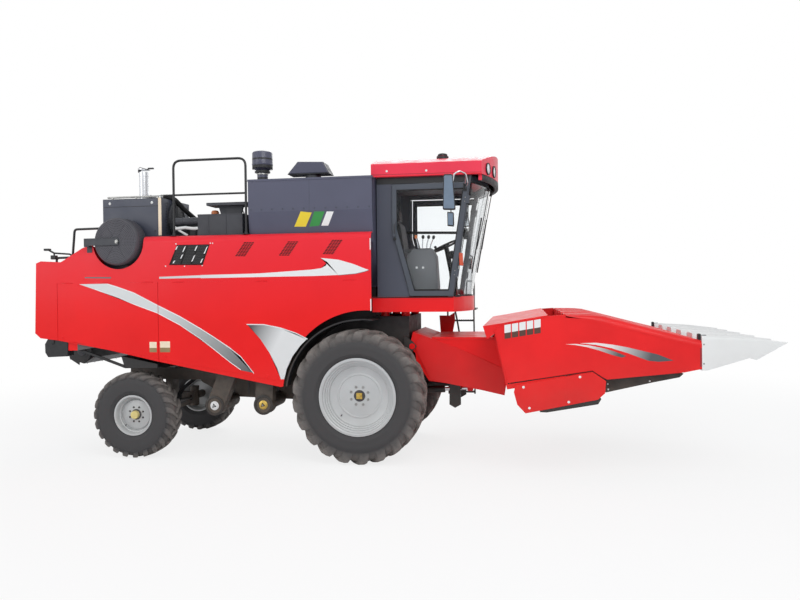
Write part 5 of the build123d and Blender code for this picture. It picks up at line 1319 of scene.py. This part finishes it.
tube([(1150, 0, 2180), (1120, 0, 2500), (1060, 0, 2810), (1048, 0, 2850)], 34, 120, 24)
prism([(1070, 2173), (1210, 2173), (1196, 2420), (1120, 2440)], -70, 70)
for y in (-190, 130):
    prism([(1020, 2200), (1120, 2230), (1116, 2246), (1016, 2216)], y, y + 90)
    tube([(1110, y + 45, 2235), (1160, y + 45, 2200), (1170, y + 45, 2176)], 8, 20, 8)
piece("steering_column", "black_plastic", bevel=5)
prism([(1080, 2700), (1180, 2680), (1210, 2760), (1150, 2800), (1090, 2780)], -150, 150)
piece("dash", "black_plastic", bevel=14, smooth=40)
WHEEL_AXIS = Vector((-0.45, 0, 1)).normalized()
wheel_centre = place(1040, 0, 2868)
ring = [(205 + 15 * cos(2 * pi * k / 12), 15 * sin(2 * pi * k / 12)) for k in range(12)]
lathe(ring, wheel_centre, WHEEL_AXIS, 64, closed=True)
lathe([(0, -16), (44, -16), (50, 0), (44, 12), (0, 16)], wheel_centre, WHEEL_AXIS, 32)
side_way = Vector((0, 1, 0))
long_way = WHEEL_AXIS.cross(side_way)
for turn in (90, 210, 330):
    angle = radians(turn)
    arm_way = side_way * cos(angle) + long_way * sin(angle)
    rod(wheel_centre + arm_way * 0.035, wheel_centre + arm_way * 0.2, 9, 10)
knob_place = wheel_centre + (side_way * -0.8 + long_way * 0.6) * 0.205
lathe([(0, 12), (14, 14), (20, 30), (18, 46), (0, 52)], knob_place, WHEEL_AXIS, 24)
piece("steering_wheel", "black_plastic", smooth=60)
brick((272, 280), (-815, 815), (2174, 2890))
brick((290, 1400), (-810, 810), (3700, 3708))
piece("cab_lining", "grey_plastic", bevel=3)
print("cab: seat, console and steering wheel")

# %% [markdown]
# ## The header
# Six dividers part the rows. Hoods and snouts are moulded, so they are lofted: rounded
# cross sections follow each other along the machine, and faces join them.


# %% Rounded cross sections
SHOULDER_STEPS = 5


def arch_section(x, low_y, high_y, floor_z, top_z, shoulder):
    """A cross section with a flat foot and two rounded shoulders."""
    shoulder = min(shoulder, (high_y - low_y) * 0.48, (top_z - floor_z) * 0.8)
    spots = [(low_y, floor_z)]
    for middle, first_turn in ((low_y + shoulder, pi), (high_y - shoulder, pi / 2)):
        for k in range(SHOULDER_STEPS + 1):
            turn = first_turn - k * pi / 2 / SHOULDER_STEPS
            spots.append((middle + cos(turn) * shoulder, top_z - shoulder + sin(turn) * shoulder))
    spots.append((high_y, floor_z))
    return [place(x, y, z) for y, z in spots]


# %% Hoods
ROWS, ROW_STEP, HEADER_HALF, HOOD_HALF = 5, 640, 1600, 160
ROW_X, ROW_Z, ROW_TURN = 3072, 1290, radians(6)
HOOD_LINE = [
    # ahead, top, shoulder
    (2607, 1942.5, 30), (2800, 1941.5, 45), (2920, 1938, 60), (3030, 1928, 75), (3214, 1880, 85), (3486, 1809, 85),
    (3844, 1714, 80), (4076, 1656, 70), (4119, 1646, 66),
]
divider_spans = []
for number in range(ROWS + 1):
    middle = (number - ROWS / 2) * ROW_STEP
    divider_spans.append((max(middle - HOOD_HALF, -HEADER_HALF), min(middle + HOOD_HALF, HEADER_HALF)))
for low_y, high_y in divider_spans:
    inner_low, inner_high = max(low_y, 1 - HEADER_HALF), min(high_y, HEADER_HALF - 1)
    loft([arch_section(x, inner_low, inner_high, ROW_Z + (x - ROW_X) * tan(ROW_TURN) + 1, top, round_)
          for x, top, round_ in HOOD_LINE])
apron = [(4100, 1560), (4119, 1320), (3930, 1279), (3072, 1189), (2911, 1276), (2607, 1230), (2607, 1500)]
prisms(apron, 1588, 1600)
piece("hoods", "red_header_paint", body="header", smooth=38, instead_of=["divider_hoods"])
for low_y, high_y in divider_spans:
    brick((4098, 4119), (low_y - 1.5, low_y - 0.2), (1345, 1560))
    brick((4098, 4119), (high_y + 0.2, high_y + 1.5), (1345, 1560))
piece("hood_lips", "red_shadow_paint", body="header")

# %% Snouts and their hinges
SNOUT_LINE = [
    # ahead, floor, top, share of the hood's width
    (4120, 1302, 1699, 1.0), (4180, 1303, 1697, 0.97), (4400, 1371, 1686, 0.84), (4634, 1444, 1671, 0.66),
    (4712, 1421, 1661, 0.58), (4850, 1500, 1645, 0.42), (4980, 1574, 1629, 0.24), (5052, 1612, 1620, 0.11),
]
for low_y, high_y in divider_spans:
    middle = (low_y + high_y) / 2
    sections = []
    for x, floor_z, top_z, share in SNOUT_LINE:
        half = (high_y - low_y) / 2 * share
        sections.append(arch_section(x, middle - half, middle + half, floor_z, top_z, 46 * share))
    loft(sections)
piece("snouts", "white_plastic", body="header", smooth=38, instead_of=["snout_points"])
for middle in (80 - HEADER_HALF, HEADER_HALF - 80):
    brick((4086, 4120), (middle - 26, middle + 26), (1648, 1716))
    rod(place(4104, middle - 34, 1712), place(4104, middle + 34, 1712), 9, 16, chamfer=2)
    brick((4122, 4180), (middle - 20, middle + 20), (1697, 1704))
piece("snout_hinges", "black_paint", body="header", bevel=2)
for side in (-1, 1):
    for z in (1380, 1600):
        lathe([(0, 0), (10, 0), (9, 4), (0, 5)], place(4141, side * 1598.5, z), (0, side, 0), 16)
piece("snout_screws", "steel_bare", body="header")
print("header: hoods and snouts")

# %% Chains with links and fingers
def row_place(along, across_row, above, row):
    """A place on the sloping row plane, in millimetres from its origin over a row's gap."""
    middle = (row - (ROWS - 1) / 2) * ROW_STEP
    return place(ROW_X + along * cos(ROW_TURN) - above * sin(ROW_TURN), middle + across_row,
                 ROW_Z + along * sin(ROW_TURN) + above * cos(ROW_TURN))


def link(middle, heading):
    """One chain link lying flat: two plates, one above the other, and one pin through their front end."""
    run = Vector((cos(heading), sin(heading), 0)) * 0.019
    rod(middle + run - Vector((0, 0, 0.013)), middle + run + Vector((0, 0, 0.013)), 5, 8)
    across_link = Vector((-sin(heading), cos(heading), 0)) * 0.008
    for lift in (-0.010, 0.010):
        loft([[middle + ahead_sign * run + side_sign * across_link + Vector((0, 0, lift + dz))
               for ahead_sign, side_sign in ((-1, -1), (1, -1), (1, 1), (-1, 1))] for dz in (-0.0015, 0.0015)])


def chain_spot(travel):
    """Where a link is after some travel round its loop, and its heading; the way back is the way out turned."""
    back, travel = divmod(travel, 2 * HALF_RUN + pi * LOOP_RADIUS)
    sign = -1 if back else 1
    x, y, heading = travel - HALF_RUN, -LOOP_RADIUS, 0
    if travel >= 2 * HALF_RUN:
        heading = (travel - 2 * HALF_RUN) / LOOP_RADIUS
        x, y = HALF_RUN + sin(heading) * LOOP_RADIUS, -cos(heading) * LOOP_RADIUS
    return sign * x, sign * y, heading + (pi if back else 0)


def grow_rows(name, finish_name):
    """Repeats a flat pattern over the rows, tilted as the row plane is."""
    bmesh.ops.rotate(shape, verts=shape.verts, matrix=Matrix.Rotation(-ROW_TURN, 3, "Y"))
    return grow(name, rows_tree, "header", finish_name, Columns=ROWS, Start=row_place(230, 0, 0, 0),
                Column_step=Vector((0, ROW_STEP, 0)) * MM)


HALF_RUN, LOOP_RADIUS, LOOP_SIDE, LINK_STEP, FINGER_EVERY = 0.497, 0.034, 0.105, 0.038, 9
FINGER = [(0.010, -0.016), (0.010, 0.016), (0.030, 0.010), (0.034, -0.004), (0.022, -0.016)]
length = 4 * HALF_RUN + 2 * pi * LOOP_RADIUS
count = int(length / LINK_STEP)
chain_links = []
for side in (-1, 1):
    for k in range(count):
        x, y, heading = chain_spot(k * length / count)
        chain_links.append((Vector((x, y + side * LOOP_SIDE, 0.021)), heading, k % FINGER_EVERY == 0))
for middle, heading, has_finger in chain_links:
    link(middle, heading)
for x in (-HALF_RUN, HALF_RUN):
    for y in (-LOOP_SIDE, LOOP_SIDE):
        lathe([(0, 0), (28, 0), (28, 8), (20, 8), (20, 22), (12, 26), (0, 26)], Vector((x, y, 0.010)), (0, 0, 1), 18)
chains = grow_rows("chains", "steel_bare")
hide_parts("gathering_chains")
for middle, heading, has_finger in chain_links:
    if has_finger:
        out, run = Vector((sin(heading), -cos(heading), 0)), Vector((cos(heading), sin(heading), 0))
        loft([[middle + out * reach + run * along + Vector((0, 0, height)) for reach, along in FINGER]
              for height in (0.012, 0.018)])
grow_rows("chain_fingers", "black_paint")
bolt_head(14, 5, direction=(-sin(ROW_TURN), 0, cos(ROW_TURN)))
grow("deck_bolts", rows_tree, "header", "steel_bare", Columns=ROWS * 2, Rows=6,
     Start=row_place(-380, -82, 0.3, 0), Column_step=Vector((0, 320, 0)) * MM,
     Row_step=row_place(200, 0, 0, 0) - row_place(0, 0, 0, 0))
print("header: chains of", count, "links")

# %% Cross auger with true flights
AUGER = place(2270, 0, 1450)
CORE, FLIGHT, FLIGHT_START, FLIGHT_PITCH, TURNS, STEPS = 110, 268, 320, 420, 2.5, 36
lathe([(45.5, -1546), (108, -1546), (CORE, -1544), (CORE, 1544), (108, 1546), (45.5, 1546)], AUGER, (0, 1, 0),
      48, closed=True)
for side in (-1, 1):
    sections = []
    for k in range(int(TURNS * STEPS) + 1):
        turn = side * 2 * pi * k / STEPS
        out = FLIGHT_START + FLIGHT_PITCH * k / STEPS
        sections.append([AUGER + Vector((cos(turn) * radius, side * (out + offset), sin(turn) * radius)) * MM
                         for radius, offset in ((CORE - 4, -4), (FLIGHT, -2), (FLIGHT, 2), (CORE - 4, 4))])
    loft(sections)
piece("auger_flights", "grey_paint", body="header_auger", smooth=40, instead_of=["header_auger"])
for turn in range(6):
    way = Vector((cos(turn * pi / 3), 0, sin(turn * pi / 3)))
    foot = AUGER + Vector((0, -0.2 + 0.08 * turn, 0))
    rod(foot + way * 0.1, foot + way * 0.262, 9, 12, chamfer=2)
piece("auger_fingers", "steel_bare", body="header_auger")

# %% Films, labels and bolts on the header's sides
HEADER_FACE = 1601.2
side_outline = [(1773, 1777), (1857, 1837), (2404, 1930), (2607, 1930), (2607, 1912)]
side_outline += [(x, top - round_) for x, top, round_ in HOOD_LINE]
side_outline += [(4119, 1322), (3930, 1281), (3072, 1191), (2907, 1290), (1930, 1130)]
prisms(side_outline, HEADER_HALF + 0.1, HEADER_FACE)
bmesh.ops.triangulate(shape, faces=[face for face in shape.faces if len(face.verts) > 4])
piece("header_side_skin", "red_header_paint", body="header")
SWOOSH = [
    # name, outline, finish
    ("swoosh_blade", [(2760, 1612), (2950, 1618), (3136, 1596), (3300, 1566), (3448, 1530), (3640, 1484),
                      (3809, 1414), (3650, 1400), (3540, 1410), (3440, 1446), (3300, 1500), (3120, 1556),
                      (2940, 1594)], "blade_film"),
    ("swoosh_tail", [(2600, 1600), (2720, 1604), (2890, 1584), (3030, 1556), (3150, 1520), (3290, 1464), (3240, 1446),
                     (3130, 1476), (2990, 1526), (2850, 1566), (2720, 1590)], "tail_film"),
]
for side_name, side in SIDES.items():
    for name, outline, finish_name in SWOOSH:
        prism(outline, *span(side, HEADER_FACE + 0.1, HEADER_FACE + 0.6))
        bmesh.ops.triangulate(shape, faces=[face for face in shape.faces if len(face.verts) > 4])
        piece(f"{name}_{side_name}", finish_name, body="header")
    for number in range(5):
        x, z = 1894 + number * 87, 1826 + number * 14.5
        for part, low, high, finish_name in (("high", 0.42, 1.0, "white_film"), ("low", 0.0, 0.42, "brown_film")):
            prism([(x + 2, z - 165 + 165 * low), (x + 76, z - 152 + 165 * low), (x + 76, z - 152 + 165 * high),
                   (x + 2, z - 165 + 165 * high)], *span(side, HEADER_FACE + 0.1, HEADER_FACE + 0.8))
            piece(f"header_label_{number}_{part}_{side_name}", finish_name, body="header")
    for x, z in ((1918, 1190), (1946, 1125), (1888, 1291), (1830, 1560), (1812, 1640)):
        lathe([(0, 0), (9, 0), (9, 3), (6, 6), (0, 7)], place(x + 8, side * (HEADER_FACE + 0.2), z), (0, side, 0), 16)
    piece("side_bolts_" + side_name, "red_header_paint", body="header")
    for x, z in ((3095, 1120), (3100, 1055), (3573, 1158)):
        lathe([(0, 0), (11, 0), (11, 3), (7, 7), (0, 8)], place(x, side * 1440.3, z), (0, side, 0), 16)
    piece("skid_bolts_" + side_name, "white_plastic", body="header")
    fold = [(1771, 1777), (1856, 1837), (2403, 1932), (2403, 1922), (1858, 1826), (1781, 1772), (1930, 1128),
            (1921, 1124)]
    prism(fold, *span(side, HEADER_FACE + 0.2, HEADER_FACE + 6))
    piece("header_side_fold_" + side_name, "red_header_paint", body="header", bevel=2)
    prism([(1932, 1136), (2907, 1292), (3064, 1184), (3056, 1176), (2904, 1282), (1934, 1124)],
          *span(side, HEADER_FACE + 0.1, HEADER_FACE + 1.2))
    piece("guard_shadow_" + side_name, "dark_room", body="header")
    prism([(2300, 828), (2300, 803), (2380, 800), (2967, 905), (3002, 965), (2990, 990), (2960, 965)],
          *span(side, 1560, 1636))
    piece("guard_skid_" + side_name, "black_paint", body="header", bevel=3)

# %% Inside the trough, under the rows and behind the header
for k in range(9):
    y = -1440 + k * 360
    if abs(y) > 560:
        prism([(1778, 1700), (1884, 1240), (1872, 1238), (1764, 1700)], y, y + 40)
piece("back_ribs", "red_header_paint", body="header", bevel=3)
prisms([(1648, 1806), (1856, 1841), (1856, 1780), (1700, 1665), (1694, 1664)], 1580, 1588.5)
piece("cover_ends", "red_header_paint", body="header", bevel=2)
prism([(1650, 1807.5), (1856, 1842.5), (1856, 1844), (1650, 1809)], -1588, 1588)
piece("header_cover_top", "red_shadow_paint", body="header")
for row in range(ROWS):
    lathe([(0, 0), (60, 0), (60, 30), (46, 40), (0, 40)], row_place(-170, 0, -150.3, row),
          (sin(ROW_TURN), 0, -cos(ROW_TURN)), 32)
rod(place(2800, -1480, 1190), place(2800, 1480, 1190), 22, 20)
piece("row_drives", "charcoal_paint", body="header", bevel=2)
ROLL_RADIUS = 36
for row in range(ROWS):
    for side in (-1, 1):
        for k in range(6):
            across, above = side * 39 + cos(k * pi / 3) * ROLL_RADIUS, sin(k * pi / 3) * ROLL_RADIUS - 80
            rod(row_place(-240, across, above, row), row_place(720, across, above, row), 5, 6)
piece("roll_ridges", "steel_bare", body="header")
print("header: films, labels, bolts and drives")

# %% [markdown]
# ## Under the body
# Elevator boots, bearings, axle flanges and the steering cylinder show below the panels.
# They are dark, dusty and bolted, which is most of what the eye reads there.

# %% Elevator boots and their bearings
BOOTS = [place(x, -1090.2, z) for x, z in ((-1293, 749), (-1976, 728))]
for centre in BOOTS:
    lathe([(100, 0), (133, 0), (133, 6), (126, 9), (100, 9)], centre, (0, -1, 0), 64, closed=True)
piece("elevator_flanges", "black_paint", bevel=2)
for number, centre in enumerate(BOOTS):
    lathe([(0, 0), (60, 0), (60, 6), (46, 12), (46, 18), (30, 22), (0, 22)], centre, (0, -1, 0), 40,
          slot=number)
    lathe([(0, 22.1), (36, 22.1), (36, 24), (0, 24)], centre, (0, -1, 0), 3, slot=2)
piece("elevator_bearings", "zinc_yellow", "white_plastic", "black_plastic", bevel=1)
for centre in BOOTS:
    lathe([(0, 22.2), (14, 22.2), (14, 30), (11, 34), (0, 34)], centre, (0, -1, 0), 24)
piece("elevator_shafts", "steel_bare", bevel=1)

# %% Sieve box, fan and belts under the body
for x in range(-2200, -879, 220):
    bricks((x, x + 24), 426.2, 432, (800, 1000))
for side in (-1, 1):
    lathe([(60, 0), (230, 0), (230, 8), (222, 12), (60, 12)], place(-480, side * 430, 1000), (0, side, 0), 48,
          closed=True)
piece("shoe_ribs", "charcoal_paint", bevel=2)
PULLEYS = [(-3350, 1720, 190), (-2450, 1650, 140), (-1500, 1900, 230), (-650, 2050, 170), (-2900, 2120, 110)]
for side in (-1, 1):
    for x, z, radius in PULLEYS:
        groove = [(0, 0), (radius - 30, 0), (radius - 26, 10), (radius, 10), (radius, 16), (radius - 12, 26),
                  (radius, 36), (radius, 42), (radius - 26, 42), (radius - 30, 50), (0, 50)]
        lathe(groove, place(x, side * 602, z), (0, side, 0), 48)
piece("belt_pulleys", "grey_paint", bevel=1)
for (x1, z1, r1), (x2, z2, r2) in zip(PULLEYS[:4], PULLEYS[1:4]):
    way = Vector((x2 - x1, z2 - z1))
    for square in (Vector((-way.y, way.x)).normalized(), Vector((way.y, -way.x)).normalized()):
        start, end = Vector((x1, z1)) + square * (r1 - 8), Vector((x2, z2)) + square * (r2 - 8)
        prisms([tuple(start), tuple(end), tuple(end + square * 9), tuple(start + square * 9)], 622, 636)
piece("drive_belts", "seal_rubber")

# %% Axles, steering and brakes
for side in (-1, 1):
    for inner, outer, y, thick in ((172, 205, 752, 14), (107, 140, 852, 16)):
        lathe([(inner, 0), (outer, 0), (outer, thick), (inner, thick + 4)], place(0, side * y, AXLE_HEIGHT),
              (0, side, 0), 64, closed=True)
bricks((-150, -140.3), 430, 530, (760, 1000))
piece("axle_flanges", "charcoal_paint", bevel=2)
for side_name, side in SIDES.items():
    bolt_head(24, 14, Vector((0.19, side * 0.766, 0)), (0, side, 0))
    grow("axle_bolts_" + side_name, ring_tree, "harvester", "steel_bare", Count=16,
         Centre=place(0, 0, AXLE_HEIGHT), Step=pi / 8)
rod(place(-3025, -230, 600), place(-3025, 230, 600), 34, 32, chamfer=4)
for side in (-1, 1):
    rod(place(-3025, side * 230, 600), place(-3025, side * 420, 600), 16, 20)
    brick((-3040, -3010), span(side, 420, 450), (560, 640))
piece("steering_cylinder", "black_paint", bevel=1)
for y in (-60, -20, 20, 60):
    tube([(-3020, y, 634), (-3010, y, 720), (-2960, y * 1.4, 800), (-2700, y * 1.6, 1000), (-2400, y * 1.8, 1120)],
         9, 60, 10)
for side in (-1, 1):
    tube([(x, side * y, z) for x, y, z in ((560, 540, 1120), (640, 560, 1260), (700, 600, 1180), (900, 610, 1010),
                                           (1100, 560, 980))], 12, 60, 12)
piece("oil_hoses", "seal_rubber")

# %% Chopper, tail lamps and rear wall
prisms([(-4460, 1560), (-4060, 1686), (-4060, 1664), (-4460, 1536)], 590.2, 596)
for side in (-1, 1):
    lathe([(0, 0), (70, 0), (70, 8), (50, 14), (0, 14)], place(-4200, side * 640.2, 1420), (0, side, 0), 40)
piece("chopper_rims", "charcoal_paint", bevel=2)
prisms([(-4030, 1505), (-4014, 1532), (-3225, 1262), (-3236, 1228)], 1120, 1150)
bricks((-4030, -3980), 591, 1150, (1500, 1530))
prisms([(-3290, 1395), (-2760, 1290), (-2760, 1235), (-3236, 1228)], 531, 1150)
piece("rear_stays", "black_paint", bevel=3)
for y in (-700, 0, 700):
    prism([(-4512, 1740), (-4485, 2580), (-4479, 2580), (-4505, 1740)], y - 18, y + 18)
prism([(-4514, 1960), (-4505, 2250), (-4496, 2250), (-4503, 1960)], -520, 520)
piece("rear_wall_ribs", "red_paint", bevel=2)
bricks((-4516, -4490), 900, 1120, (2280, 2400))
piece("tail_lamp_bases", "black_plastic", bevel=3)
bricks((-4519.4, -4516.2), 1010, 1110, (2290, 2390))
piece("tail_lamps_red", "red_lens", bevel=4)
bricks((-4519.4, -4516.2), 910, 1000, (2290, 2390))
piece("tail_lamps_amber", "amber_lens", bevel=4)
brick((-4519.4, -4515.2), (-240, 240), (2040, 2170))
piece("blank_plate", "white_film", bevel=2)
tube([(-4040, -1100, 2700), (-4040, -1100, 2796), (-4296, -1100, 2816), (-4400, -1100, 2868)], 12, 30, 12)
brick((-4440, -4360), (-1130, -1070), (2850, 2880))
brick((-4336, -4261), (-1130, -1070), (2728, 2785))
rod(place(-4298, -1100, 2780), place(-4298, -1100, 2816), 10, 12)
piece("rear_work_lamp", "black_plastic", bevel=5)
prisms([(-4388, 1440), (-4391, 1560), (-4341, 1640), (-4039, 1640), (-4044, 1392), (-4346, 1378)], 1060, 1210)
bricks((-4300, -4240), 1200, 1224.8, (1560, 1636))
piece("rear_corner_boxes", "black_plastic", bevel=12)
for side in (-1, 1):
    near, far = span(side, 1190, 1196)
    prism([(-4050, 1612), (-3905, 1612), (-3905, 1473), (-4050, 1470)], near, far)
    prism([(-3905, 1610), (-3639, 1596), (-3639, 1515), (-3905, 1473)], near, far, slot=1)
piece("rear_corner_tags", "red_paint", "grey_paint", bevel=1)

# %% Feeder house, ladder and the front of the chassis
FEEDER_HALF = 650
prisms([(914, 1600), (1799, 1604), (1799, 1588), (914, 1584)], FEEDER_HALF + 0.2, FEEDER_HALF + 6)
prisms([(700, 1560), (790, 1640), (1242, 1485), (1858, 1210), (1868, 872), (1423, 946), (891, 1047),
        (700, 1440)], FEEDER_HALF + 0.2, FEEDER_HALF + 10)
prisms([(860, 1045), (1160, 1005), (1520, 938), (1868, 862), (1870, 876), (1522, 952), (1162, 1019),
        (864, 1059)], FEEDER_HALF + 0.2, FEEDER_HALF + 6)
piece("feeder_ribs", "red_header_paint", body="header", bevel=2)
for y in (-503, 467):
    prism([(1124, 700), (1200, 655), (1280, 700), (1275, 960), (1128, 980)], y, y + 36)
piece("feeder_stand", "black_paint", body="header", bevel=3)
prism([(800, 1841), (965, 1840), (1045, 1890), (1050, 1760), (1010, 1560), (820, 1540)], 1290, 1300)
piece("ladder_side_plate", "red_paint", bevel=2)
for step in range(5):
    z = 580 + step * 290
    y = 1520 - (z - 560) * 0.0863
    for k in range(12):
        x = 925 + k * 35
        brick((x, x + 12), (y + 8, y + 82), (z + 24.2, z + 29))
for k in range(30):
    x = 270 + k * 37
    brick((x, x + 10), (990, 1470), (1960.2, 1965))
piece("ladder_treads", "charcoal_paint")
tube([(1054, 1300, 1902), (1080, 1300, 1780), (1123, 1300, 1518)], 14, 40, 12)
tube([(1345, 1440, 1962), (1345, 1440, 2790), (1245, 1440, 2790), (1245, 1440, 1962)], 14, 45, 12)
tube([(1245, 1440, 2380), (1295, 1440, 2382), (1345, 1440, 2380)], 11, 20, 10)
piece("ladder_handrails", "black_paint")
brick((200, 540), (-560, -250), (1168, 1420))
brick((190, 550), (250, 560), (1168, 1380))
piece("front_boxes", "black_plastic", bevel=8)
print("under the body: boots, belts, axles, tail, feeder and ladder")

# %% Unloading auger on the left
ELBOW_X, TUBE_Y, TUBE_Z = -600, 1400, 2620
for x in (-900, -1900, -2900, -3900):
    lathe([(140.3, -14), (150, -12), (150, 12), (140.3, 14)], place(x, TUBE_Y, TUBE_Z), (1, 0, 0), 56, closed=True)
lathe([(160.3, -8), (176, -6), (176, 6), (160.3, 8)], place(ELBOW_X, TUBE_Y, 2752), (0, 0, 1), 56, closed=True)
piece("auger_clamps", "charcoal_paint", body="unloading_auger", bevel=1)
prism([(-4265, 2345), (-4430, 2345), (-4436, 2300), (-4420, 2200), (-4280, 2200), (-4262, 2300)],
      TUBE_Y - 100, TUBE_Y + 100)
piece("auger_spout_rubber", "seal_rubber", body="unloading_auger", bevel=10)
lathe([(165.3, -10), (184, -8), (184, 8), (165.3, 10)], place(ELBOW_X, TUBE_Y, 2830), (0, 0, 1), 56, closed=True)
lathe([(0, 0), (150, 0), (150, 10), (60, 26), (0, 26)], place(ELBOW_X, TUBE_Y, 2990.2), (0, 0, 1), 56)
piece("tank_elbow_rings", "charcoal_paint", bevel=1)
print("unloading auger: clamps and spout")

# %% [markdown]
# ## Studio
# A pale floor takes the shadow, and a white world stands behind it. The world lights the
# machine a little less brightly than the camera sees it, so the paint keeps its colour.

# %% Floor, world and lamps
floor_mesh = bpy.data.meshes.new("floor")
FLOOR_HALF = 40
corners = [(FLOOR_HALF * x, FLOOR_HALF * y, 0) for x, y in ((-1, -1), (1, -1), (1, 1), (-1, 1))]
floor_mesh.from_pydata(corners, [], [(0, 1, 2, 3)])
floor = bpy.data.objects.new("floor", floor_mesh)
bpy.context.collection.objects.link(floor)
tree, shader, spot = new_material("floor_white")
shader.inputs["Base Color"].default_value = (0.9, 0.9, 0.9, 1)
shader.inputs["Roughness"].default_value = 0.9
shader.inputs["Specular IOR Level"].default_value = 0.1
glow = node(tree, "ShaderNodeEmission", {"Color": (1, 1, 1, 1), "Strength": 1.0})
path = node(tree, "ShaderNodeLightPath")
reach = node(tree, "ShaderNodeVectorMath", {0: spot}, operation="LENGTH").outputs["Value"]
far = node(tree, "ShaderNodeMapRange", {"Value": reach, "From Min": 5.0, "From Max": 13.0, "To Min": 0.8,
                                        "To Max": 1.0}, interpolation_type="SMOOTHSTEP")
share = node(tree, "ShaderNodeMath", {0: path.outputs["Is Camera Ray"], 1: far.outputs[0]}, operation="MULTIPLY")
both = node(tree, "ShaderNodeMixShader", {0: share.outputs[0], 1: shader.outputs[0], 2: glow.outputs[0]})
tree.links.new(both.outputs[0], tree.nodes["Material Output"].inputs["Surface"])
floor_mesh.materials.append(finishes["floor_white"])

world = bpy.data.worlds.new("studio")
bpy.context.scene.world = world
world.use_nodes = True
tree = world.node_tree
lit = tree.nodes["Background"]
lit.inputs["Color"].default_value = (0.93, 0.96, 1.0, 1)
lit.inputs["Strength"].default_value = 0.55
seen = node(tree, "ShaderNodeBackground", {"Color": (1, 1, 1, 1), "Strength": 1.0})
path = node(tree, "ShaderNodeLightPath")
clear = node(tree, "ShaderNodeMath", {0: path.outputs["Is Camera Ray"], 1: path.outputs["Is Transmission Ray"]},
             operation="MAXIMUM")
shiny = node(tree, "ShaderNodeMath", {0: clear.outputs[0], 1: path.outputs["Is Glossy Ray"]}, operation="MAXIMUM")
both = node(tree, "ShaderNodeMixShader", {0: shiny.outputs[0], 1: lit.outputs[0], 2: seen.outputs[0]})
tree.links.new(both.outputs[0], tree.nodes["World Output"].inputs["Surface"])

LAMPS = [
    # name, place in metres, aim in metres, width, watts
    ("key_lamp", (4.0, -9.0, 9.0), (0, 0, 1.5), 7.0, 520),
    ("fill_lamp", (-9.0, -8.0, 5.0), (-1, 0, 1.5), 6.0, 180),
    ("back_lamp", (-2.0, 9.0, 9.0), (0, 0, 1.5), 7.0, 380),
]
for name, where, aim, width, watts in LAMPS:
    lamp_data = bpy.data.lights.new(name, "AREA")
    lamp_data.energy = watts
    lamp_data.size = width
    lamp = bpy.data.objects.new(name, lamp_data)
    bpy.context.collection.objects.link(lamp)
    lamp.location = where
    lamp.rotation_euler = (Vector(aim) - Vector(where)).to_track_quat("-Z", "Y").to_euler()
print(len(LAMPS), "lamps")
